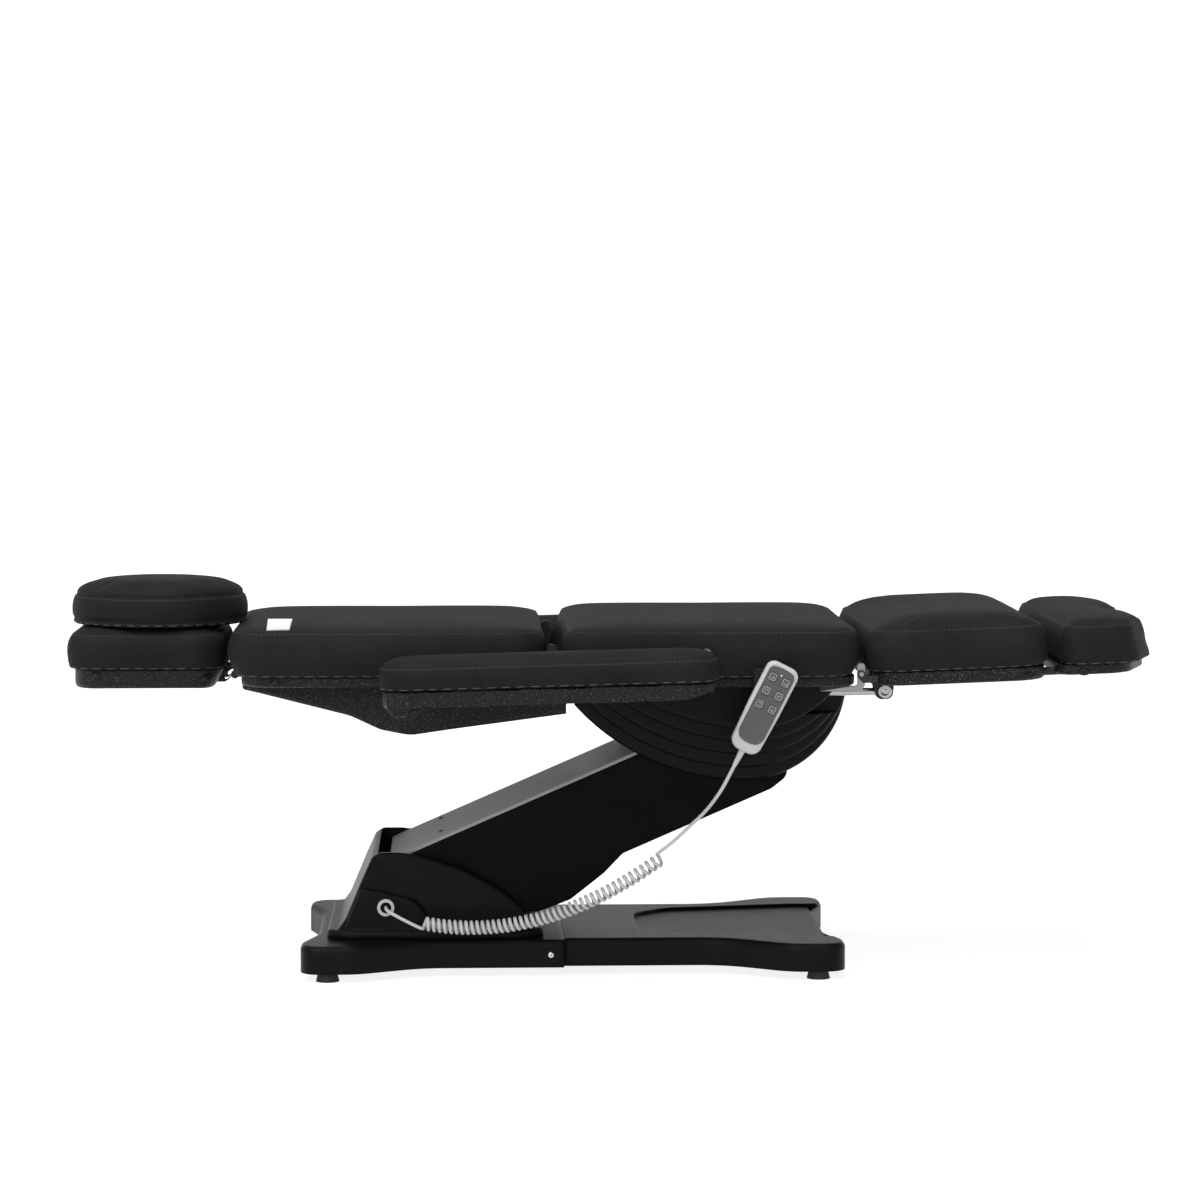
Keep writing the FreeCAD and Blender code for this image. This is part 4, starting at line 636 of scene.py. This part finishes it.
def rim_loop(obj, point, up):
    """The line where a level plane cuts a cushion, as points in order."""
    cutter = bmesh.new()
    cutter.from_mesh(obj.data)
    cutter.transform(obj.matrix_world)
    made = bmesh.ops.bisect_plane(cutter, geom=cutter.verts[:] + cutter.edges[:] + cutter.faces[:],
                                  plane_co=point, plane_no=up, clear_inner=True, clear_outer=True)
    edges = [e for e in made["geom_cut"] if isinstance(e, bmesh.types.BMEdge)]
    ahead = {}
    for edge in edges:
        a, b = edge.verts
        ahead.setdefault(a, []).append(b)
        ahead.setdefault(b, []).append(a)
    best = []
    unseen = set(ahead)
    while unseen:
        at = min(unseen, key=lambda v: (v.co.x, v.co.y))
        line = []
        while at is not None:
            line.append(at.co.copy())
            unseen.discard(at)
            at = next((v for v in ahead[at] if v in unseen), None)
        if len(line) > len(best):
            best = line
    cutter.free()
    return best


def stitches(name, obj, body, point, up, pitch, mat):
    """A row of stitch-shaped marks along a level of a cushion, in the given material: sewn stitches at the
    seams and light dashes of painted highlight along the base.
    """
    line = rim_loop(obj, point, up)
    middle = sum(line, Vector()) / len(line)
    made = bmesh.new()
    travelled = 0.0
    due = 0.0
    long = STITCH_LONG * pitch
    for a, b in zip(line, line[1:] + line[:1]):
        run = (b - a).length
        if run < SHORTEST_RUN or run > LONGEST_RUN:
            continue
        way = (b - a) / run
        while due <= travelled + run:
            place = a + way * (due - travelled)
            out = way.cross(up).normalized()
            if out.dot(place - middle) < 0:
                out = -out
            side = way.cross(out)
            rows = []
            for along, share in STITCH_ROWS:
                centre = place + way * (along * long)
                rows.append([made.verts.new(centre + side * (s * STITCH_HALF * share)
                                            + out * (h * STITCH_RISE * share))
                             for s, h in STITCH_SECTION])
            skin(made, rows)
            due += pitch
        travelled += run
    settle(made, name, Matrix.Identity(4), mat, body, smooth=False)


def tilted(degrees):
    """The way up on a part that is tilted about Y."""
    return Vector((-math.sin(math.radians(degrees)), 0.0, math.cos(math.radians(degrees))))


ORIGIN = Vector((0.0, 0.0, 0.0))
UP = Vector((0.0, 0.0, 1.0))
LEG_ORIGIN = Vector((0.416, 0.0, 0.523))
LEG_UP = tilted(2.2)
REST_ORIGIN = Vector((-0.352, 0.0, 0.494))
REST_UP = tilted(1.5)
REST_TOP = 0.0173


def make_cushions():
    """Makes all cushions and gives back the backrest's."""
    pad("seat_pad", "seat_cushion", "seat", ORIGIN, UP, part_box("seat_cushion")[0].z, seams=[0.600],
        voxel=0.0065, draw=0.0, cap=0.0045, crown=0.22, ends=(0.004, 0.010))
    back = pad("back_pad", "back_cushion", "backrest", ORIGIN, UP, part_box("back_cushion")[0].z, seams=[0.598],
               voxel=0.0065, draw=0.0, cap=0.0045, crown=0.2, ends=(-0.009, 0.004))
    pad("leg_pad", "leg_cushion", "legrest", LEG_ORIGIN, LEG_UP, low=0.0023, seams=[0.075],
        voxel=0.006, draw=0.002, cap=0.006, crown=0.5, box=1, ends=(0.0, 0.012))
    pad("foot_pad", "foot_cushion", "footrest", LEG_ORIGIN, LEG_UP, low=0.0003, seams=[0.069],
        voxel=0.0055, draw=0.002, cap=0.005, crown=0.5, box=1, ends=(0.0, -0.010))
    pad("head_pad", "head_cushion", "headrest", ORIGIN, UP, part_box("head_cushion")[0].z, seams=[0.586],
        voxel=0.005, draw=0.001, cap=0.006, ends=(-0.010, -0.006), foot=0.0)
    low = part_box("round_pillow")[0].z
    pad("round_pad", "round_pillow", "pillow", ORIGIN, UP, low, seams=[low + 0.010, 0.646],
        voxel=0.005, draw=0.0, cap=0.006, crown=0.9, box=3, ends=(-0.006, 0.003), foot=0.0)
    for side in ("near", "far"):
        pad("armrest_pad_cover_" + side, "armrest_pad_" + side, "armrest_" + side, REST_ORIGIN, REST_UP,
            low=REST_TOP, seams=[0.058], voxel=0.005, draw=0.0, cap=0.006)
    return back


BACK_PAD = make_cushions()


# Mouldings in the place of their solids, and steel that is darkened before these places along X, as painted
# shade of the gaps it sits in
MOULDED = {}
HEAD_PAN_ENDS = (-0.008, 0.0)
HEAD_PAN_DEEPER = 0.3
HEAD_PAN_SLANT = 0.9
SLANT_START = -0.70
SLANT_RUN = 0.06
LEG_PAN_ENDS = (0.0, 0.008)
FOOT_PAN_ENDS = (-0.016, -0.010)
POD_ENDS = (0.0, 0.003)
SEAT_PAN_FOOT = 0.37
SEAT_PAN_LONGER = 0.013
REST_PAN_VOXEL = 0.003
REST_PAN_FACTOR = 0.5
REST_PAN_ROUNDS = 3
REST_PAN_TAPER = 0.085
REST_PAN_RISE = 0.96
LEG_ROD_EYE = 0.020
LEG_ROD_STOUT = 1.5
# Steel faces before these places along X are darkened as painted shade of the gaps between parts where they
# sit.
GAP_SHADE_BEFORE = {"seat_lugs": 0.385, "seat_pins": 0.3, "head_slide": 1.0, "foot_slides": 1.0}


def mould(node, body, slot):
    """A copy of a solid's mesh that takes its place."""
    obj = link_mesh(node + "_moulded", NODES[node].data.copy())
    dress(obj, MATERIALS[slot])
    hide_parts(node)
    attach(obj, body)
    MOULDED[node] = obj
    return obj


def make_pans():
    """The pans and the pod with their ends moved, and the head pan deeper, with a slanted foot end."""
    head = mould("head_pan", "headrest", "pan_plastic").data
    move_ends(head, HEAD_PAN_ENDS)
    top = max(v.co.z for v in head.vertices)
    for vertex in head.vertices:
        depth = (top - vertex.co.z) * (1 + HEAD_PAN_DEEPER)
        vertex.co.z = top - depth
        vertex.co.x -= HEAD_PAN_SLANT * depth * max(0.0, (vertex.co.x - SLANT_START) / SLANT_RUN)
    move_ends(mould("leg_pan", "legrest", "pan_plastic").data, LEG_PAN_ENDS)
    move_ends(mould("foot_pan", "footrest", "pan_plastic").data, FOOT_PAN_ENDS)
    move_ends(mould("ridged_pod", "seat", "pod_plastic").data, POD_ENDS)
    for vertex in mould("seat_pan", "seat", "pan_plastic").data.vertices:
        if vertex.co.x > SEAT_PAN_FOOT:
            vertex.co.x += SEAT_PAN_LONGER


def make_armrest_pan(side):
    """An armrest's pan whose bottom curves up to its front end."""
    obj = mould("armrest_pan_" + side, "armrest_" + side, "pan_plastic")
    add_remesh(obj, REST_PAN_VOXEL)
    add_smooth(obj, REST_PAN_FACTOR, REST_PAN_ROUNDS)
    mesh = replaced_mesh(obj)
    end = max(v.co.x for v in mesh.vertices)
    for vertex in mesh.vertices:
        share = max(0.0, 1 - (end - vertex.co.x) / REST_PAN_TAPER)
        depth = REST_TOP - (vertex.co - REST_ORIGIN).dot(REST_UP)
        if depth > 0:
            vertex.co += REST_UP * (depth * (1 - math.sqrt(1 - REST_PAN_RISE * share * share)))
    shade(mesh)


def make_leg_rod():
    """The leg actuator's rod, as stout as the photograph shows it between the pod and its eye."""
    low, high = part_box("leg_rod")
    middle = (low + high) / 2
    eye_start = high.x - LEG_ROD_EYE
    for vertex in mould("leg_rod", "leg_rod", "rod_steel").data.vertices:
        if vertex.co.x < eye_start:
            vertex.co.y = middle.y + (vertex.co.y - middle.y) * LEG_ROD_STOUT
            vertex.co.z = middle.z + (vertex.co.z - middle.z) * LEG_ROD_STOUT


def paint_gap_shade(node, before):
    """Gives the faces of a steel node that lie before this place along X the dark painted_steel colour, as
    painted shade of the gap they sit in.
    """
    mesh = NODES[node].data
    mesh.materials.append(MATERIALS["painted_steel"])
    for face in mesh.polygons:
        face.material_index = 1 if face.center.x < before else 0


make_pans()
make_armrest_pan("near")
make_armrest_pan("far")
make_leg_rod()
for steel_node, place_along in GAP_SHADE_BEFORE.items():
    paint_gap_shade(steel_node, place_along)
NODES["back_shell"].data.materials[0] = MATERIALS["pan_plastic"]
for base_node in ("pedestal_housing", "base_rear_cover", "base_front_cover"):
    NODES[base_node].data.materials[0] = BASE_PLASTIC


# Sewn tag, with its corners as pixels of the photograph from the upper left one round
TAG_CORNERS = [(268.0, 619.0), (292.5, 619.0), (289.5, 630.3), (266.5, 630.8)]
TAG_LEAN = 62
TAG_ACROSS = 14
TAG_DOWN = 8
TAG_BULGE = 0.0012
TAG_WAVE = 3.1
TAG_THICK = 0.0006


def tree_of(obj):
    """A piece's faces, to be hit by rays."""
    verts = [obj.matrix_world @ v.co for v in obj.data.vertices]
    return BVHTree.FromPolygons(verts, [list(face.vertices) for face in obj.data.polygons])


def make_tag():
    """A blank cloth tag that stands up from the near seam of the back cushion and leans back."""
    lean = math.radians(TAG_LEAN)
    plane = Vector((0.0, -math.sin(lean), math.cos(lean)))
    eye, way = photo_ray(TAG_CORNERS[3])
    root, _, _, _ = tree_of(BACK_PAD).ray_cast(eye, way)
    made = bmesh.new()
    rows = []
    for j in range(TAG_DOWN + 1):
        t = j / TAG_DOWN
        row = []
        for i in range(TAG_ACROSS + 1):
            s = i / TAG_ACROSS
            top = Vector(TAG_CORNERS[0]).lerp(Vector(TAG_CORNERS[1]), s)
            foot = Vector(TAG_CORNERS[3]).lerp(Vector(TAG_CORNERS[2]), s)
            eye, way = photo_ray(top.lerp(foot, t))
            far = (root - eye).dot(plane) / way.dot(plane)
            bulge = TAG_BULGE * math.sin(TAG_WAVE * s) * math.sin(TAG_WAVE * t)
            row.append(made.verts.new(eye + way * far + plane * bulge))
        rows.append(row)
    skin(made, rows)
    mesh = bpy.data.meshes.new("blank_tag")
    made.to_mesh(mesh)
    made.free()
    tag = link_mesh("blank_tag", mesh)
    thick = tag.modifiers.new("thick", "SOLIDIFY")
    thick.thickness = TAG_THICK
    shade(replaced_mesh(tag))
    dress(tag, TAG_CLOTH)
    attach(tag, "backrest")


make_tag()


# Fittings, with profiles as points of radius and height, and places as pixels of the photograph
SCREW_RADIUS = 0.0052
SCREW_PROFILE = [(1.0, -0.001), (1.0, 0.0006), (0.92, 0.0014), (0.7, 0.0021), (0.45, 0.0024), (0.12, 0.0025)]
CROSS_ARM = [(0.05, -0.09), (0.55, -0.07), (0.55, 0.07), (0.05, 0.09)]
CROSS_HEIGHT = 0.00262
CROSS_FALL = 0.0004
SCREW_PIXEL = (551, 955)
WELL_PROFILE = [(0.0094, 0.0), (0.0092, 0.0006), (0.0060, 0.0005), (0.0034, 0.0003)]
WELL_SUNK = 0.0021
CAP_PROFILE = [(0.0150, -0.006), (0.0150, -0.0006), (0.0143, 0.0002), (0.0090, 0.0005), (0.001, 0.0006)]
PLUG_PROFILE = [(0.0042, -0.0005), (0.0042, 0.0003), (0.0036, 0.0007), (0.0012, 0.0008)]
PLUG_STRETCH = Matrix.Diagonal((2.2, 1.0, 1.0, 1.0))
PLUG_PIXELS = [(441, 818), (441, 831)]
EYE_PROFILE = [(0.0125, -0.001), (0.0125, 0.0026), (0.0112, 0.0040), (0.0064, 0.0044), (0.0062, 0.0032),
               (0.0040, 0.0040), (0.001, 0.0042)]
EYE_PIXEL = (885, 691)
BOSS_PROFILE = [(0.0065, -0.001), (0.0063, 0.0008), (0.0054, 0.0022), (0.0036, 0.0030), (0.001, 0.0032)]
BOSS_STRETCH = Matrix.Diagonal((1.7, 0.95, 1.0, 1.0))
BOSS_PIXELS = [("head_pan", "headrest", (96, 676)), ("head_pan", "headrest", (208, 678)),
               ("back_pan", "backrest", (275, 684)), ("leg_pan", "legrest", (892, 682)),
               ("leg_pan", "legrest", (1030, 676)), ("foot_pan", "footrest", (1084, 672))]
UPRIGHT = 1e-4


def stand(hit, normal):
    """A place whose local Z stands on a surface, with local X level."""
    level = Vector((0, 0, 1)).cross(normal)
    level = level.normalized() if level.length > UPRIGHT else Vector((1, 0, 0))
    upward = normal.cross(level)
    return Matrix.Translation(hit) @ Matrix((level, upward, normal)).transposed().to_4x4()


def seen(node, pixel):
    """Where a pixel of the photograph falls on a solid, and the way out of it there."""
    eye, way = photo_ray(pixel)
    hit, normal, _, _ = tree_of(MOULDED.get(node, NODES[node])).ray_cast(eye, way)
    if normal.dot(way) > 0:
        normal = -normal
    return hit, normal


def mirror(vector):
    """The same on the chair's other side."""
    return Vector((vector.x, -vector.y, vector.z))


def quarter_turn(degrees):
    """A turn about X that brings local Z to the side."""
    return Matrix.Rotation(math.radians(degrees), 4, "X")


def screw(name, hit, normal, body):
    """A round-headed screw with a cross recess."""
    profile = [(SCREW_RADIUS * share, height) for share, height in SCREW_PROFILE]
    settle(lathe(profile), name, stand(hit, normal), BRIGHT_STEEL, body)
    # A flat dark cross just over the head, as painted shade of its cross recess.
    cross = bmesh.new()
    for turned in (False, True):
        for sign in (-1, 1):
            verts = []
            for a, b in CROSS_ARM:
                u = sign * a * SCREW_RADIUS
                v = b * SCREW_RADIUS
                height = CROSS_HEIGHT - CROSS_FALL * a
                verts.append(cross.verts.new((v, u, height) if turned else (u, v, height)))
            cross.faces.new(verts)
    settle(cross, name + "_recess", stand(hit, normal), RECESS, body, smooth=False)


def make_gland_well():
    """A dark dish sunk inside the gland's ring, round the cord, as painted shade of its hollow."""
    low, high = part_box("cord_gland")
    middle = (low + high) / 2
    place = Matrix.Translation((middle.x, high.y - WELL_SUNK, middle.z)) @ quarter_turn(90)
    settle(lathe(WELL_PROFILE), "gland_well", place, RECESS, "base")


def make_shaft_caps():
    """Flat caps in the armrests' pans, over the ends of the shafts that the armrests swing on."""
    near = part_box("armrest_pan_near")[0].y
    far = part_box("armrest_pan_far")[1].y
    for side, y, turn in (("near", near, 90), ("far", far, -90)):
        place = Matrix.Translation((REST_ORIGIN.x, y, REST_ORIGIN.z)) @ quarter_turn(turn)
        settle(lathe(CAP_PROFILE), "shaft_cap_" + side, place, MATERIALS["pan_plastic"],
               "armrest_" + side)


def make_fittings():
    """The well, caps, screws, plugs, the leg rod's eye and the pans' bosses."""
    make_gland_well()
    make_shaft_caps()
    hit, normal = seen("base_rear_cover", SCREW_PIXEL)
    screw("base_screw_near", hit, normal, "base")
    screw("base_screw_far", mirror(hit), mirror(normal), "base")
    for number, pixel in enumerate(PLUG_PIXELS, start=1):
        place = stand(*seen("arm_top_plate", pixel)) @ PLUG_STRETCH
        settle(lathe(PLUG_PROFILE), "plate_plug_%d" % number, place, RECESS, "lift_arm")
    place = stand(*seen("leg_frame", EYE_PIXEL))
    settle(lathe(EYE_PROFILE), "leg_rod_eye", place, MATERIALS["rod_steel"], "legrest")
    for number, (node, body, pixel) in enumerate(BOSS_PIXELS, start=1):
        hit, normal = seen(node, pixel)
        for side, turn in (("near", Vector), ("far", mirror)):
            place = stand(turn(hit), turn(normal)) @ BOSS_STRETCH
            settle(lathe(BOSS_PROFILE), "pan_boss_%d_%s" % (number, side), place, MATERIALS["pan_plastic"],
                   body)


make_fittings()


# Face and marks of the handset: an outline and a plain line drawing in millimetres on each key, and the lamp
HANDSET_PLACE = (0.245, -0.326, 0.474)
HANDSET_LEAN = 27
HANDSET = Matrix.Translation(HANDSET_PLACE) @ Matrix.Rotation(math.radians(HANDSET_LEAN), 4, "Y")
FACE_LONGER = 1.11
KEY_FRONT = -0.0248
KEY_PLACES = [(x, z) for z in (0.054, 0.029, 0.004) for x in (-0.012, 0.012)]
KEY_HALF = 5.4
KEY_CORNER = 1.7
CORNER_POINTS = 5
CORNER_TURN = 22.5
BACK_LINES = [[(-3.4, -1.6), (0.2, -1.6), (3.0, 1.6)], [(-3.4, -1.6), (0.2, -1.6), (3.4, -0.6)]]
LEG_LINES = [[(3.4, 1.4), (0.6, 1.4), (-3.0, 1.4)], [(3.4, 1.4), (0.4, 1.4), (-2.4, -1.4)]]
LIFT_LINES = [[(-3.2, 2.0), (0.0, 2.0), (3.2, 2.0)], [(-3.2, -0.6), (0.0, -0.6), (3.2, -0.6)]]
KEY_DOTS = [(1.8, -2.6), (2.4, -2.6), (-0.6, -1.6), (-0.4, -2.4), (0.0, -2.4), (0.0, -2.8)]
DOT_RADIUS = 0.35
DOT_TURN = 45
STROKE_HALF = 0.0003
STROKE_RISE = 0.00012
STROKE_SECTION = [(-1, -0.5), (-0.7, 1), (0.7, 1), (1, -0.5)]
LAMP_PROFILE = [(0.0013, -0.0004), (0.0013, 0.0003), (0.0009, 0.0006), (0.0003, 0.0007)]
LAMP_STEPS = 16
LAMP_PLACE = (0.0, -0.0232, 0.062)


def key_stroke(made, points, closed):
    """A fine raised line on a key, of millimetre points."""
    count = len(points)
    rows = []
    for i, (u, v) in enumerate(points):
        before = points[i - 1] if closed or i else points[i]
        after = points[(i + 1) % count] if closed or i < count - 1 else points[i]
        way = Vector((after[0] - before[0], 0.0, after[1] - before[1])).normalized()
        beside = Vector((-way.z, 0.0, way.x))
        middle = Vector((u / 1000, KEY_FRONT, v / 1000))
        rows.append([made.verts.new(middle + beside * (s * STROKE_HALF) + Vector((0, -lift * STROKE_RISE, 0)))
                     for s, lift in STROKE_SECTION])
    skin(made, rows + rows[:1] if closed else rows)


def rounded_square(half, corner):
    """Points round a square with rounded corners."""
    points = []
    for a, b, start in ((1, 1, 0), (-1, 1, 90), (-1, -1, 180), (1, -1, 270)):
        for i in range(CORNER_POINTS):
            angle = math.radians(start + CORNER_TURN * i)
            points.append((a * (half - corner) + corner * math.cos(angle),
                           b * (half - corner) + corner * math.sin(angle)))
    return points


def make_face():
    """The handset's dark face, longer at its cord end."""
    inward = HANDSET.inverted()
    for vertex in mould("handset_face", "seat", "keypad").data.vertices:
        local = inward @ vertex.co
        if local.z < 0:
            local.z *= FACE_LONGER
        vertex.co = HANDSET @ local


def make_marks():
    """The marks on the keys, and the handset's lamp."""
    drawings = BACK_LINES + LEG_LINES + LIFT_LINES
    for number, ((u, v), line, dot) in enumerate(zip(KEY_PLACES, drawings, KEY_DOTS), start=1):
        made = bmesh.new()
        key_stroke(made, rounded_square(KEY_HALF, KEY_CORNER), True)
        key_stroke(made, line, False)
        ring = []
        for turn in range(0, 360, DOT_TURN):
            angle = math.radians(turn)
            ring.append((dot[0] + DOT_RADIUS * math.cos(angle), dot[1] + DOT_RADIUS * math.sin(angle)))
        key_stroke(made, ring, True)
        place = HANDSET @ Matrix.Translation((u, 0.0, v))
        settle(made, "key_mark_%d" % number, place, MARK_INK, "button_%d" % number,
               smooth=False)
    place = HANDSET @ Matrix.Translation(LAMP_PLACE) @ quarter_turn(90)
    settle(lathe(LAMP_PROFILE, LAMP_STEPS), "handset_lamp", place, LAMP, "seat")


make_face()
make_marks()
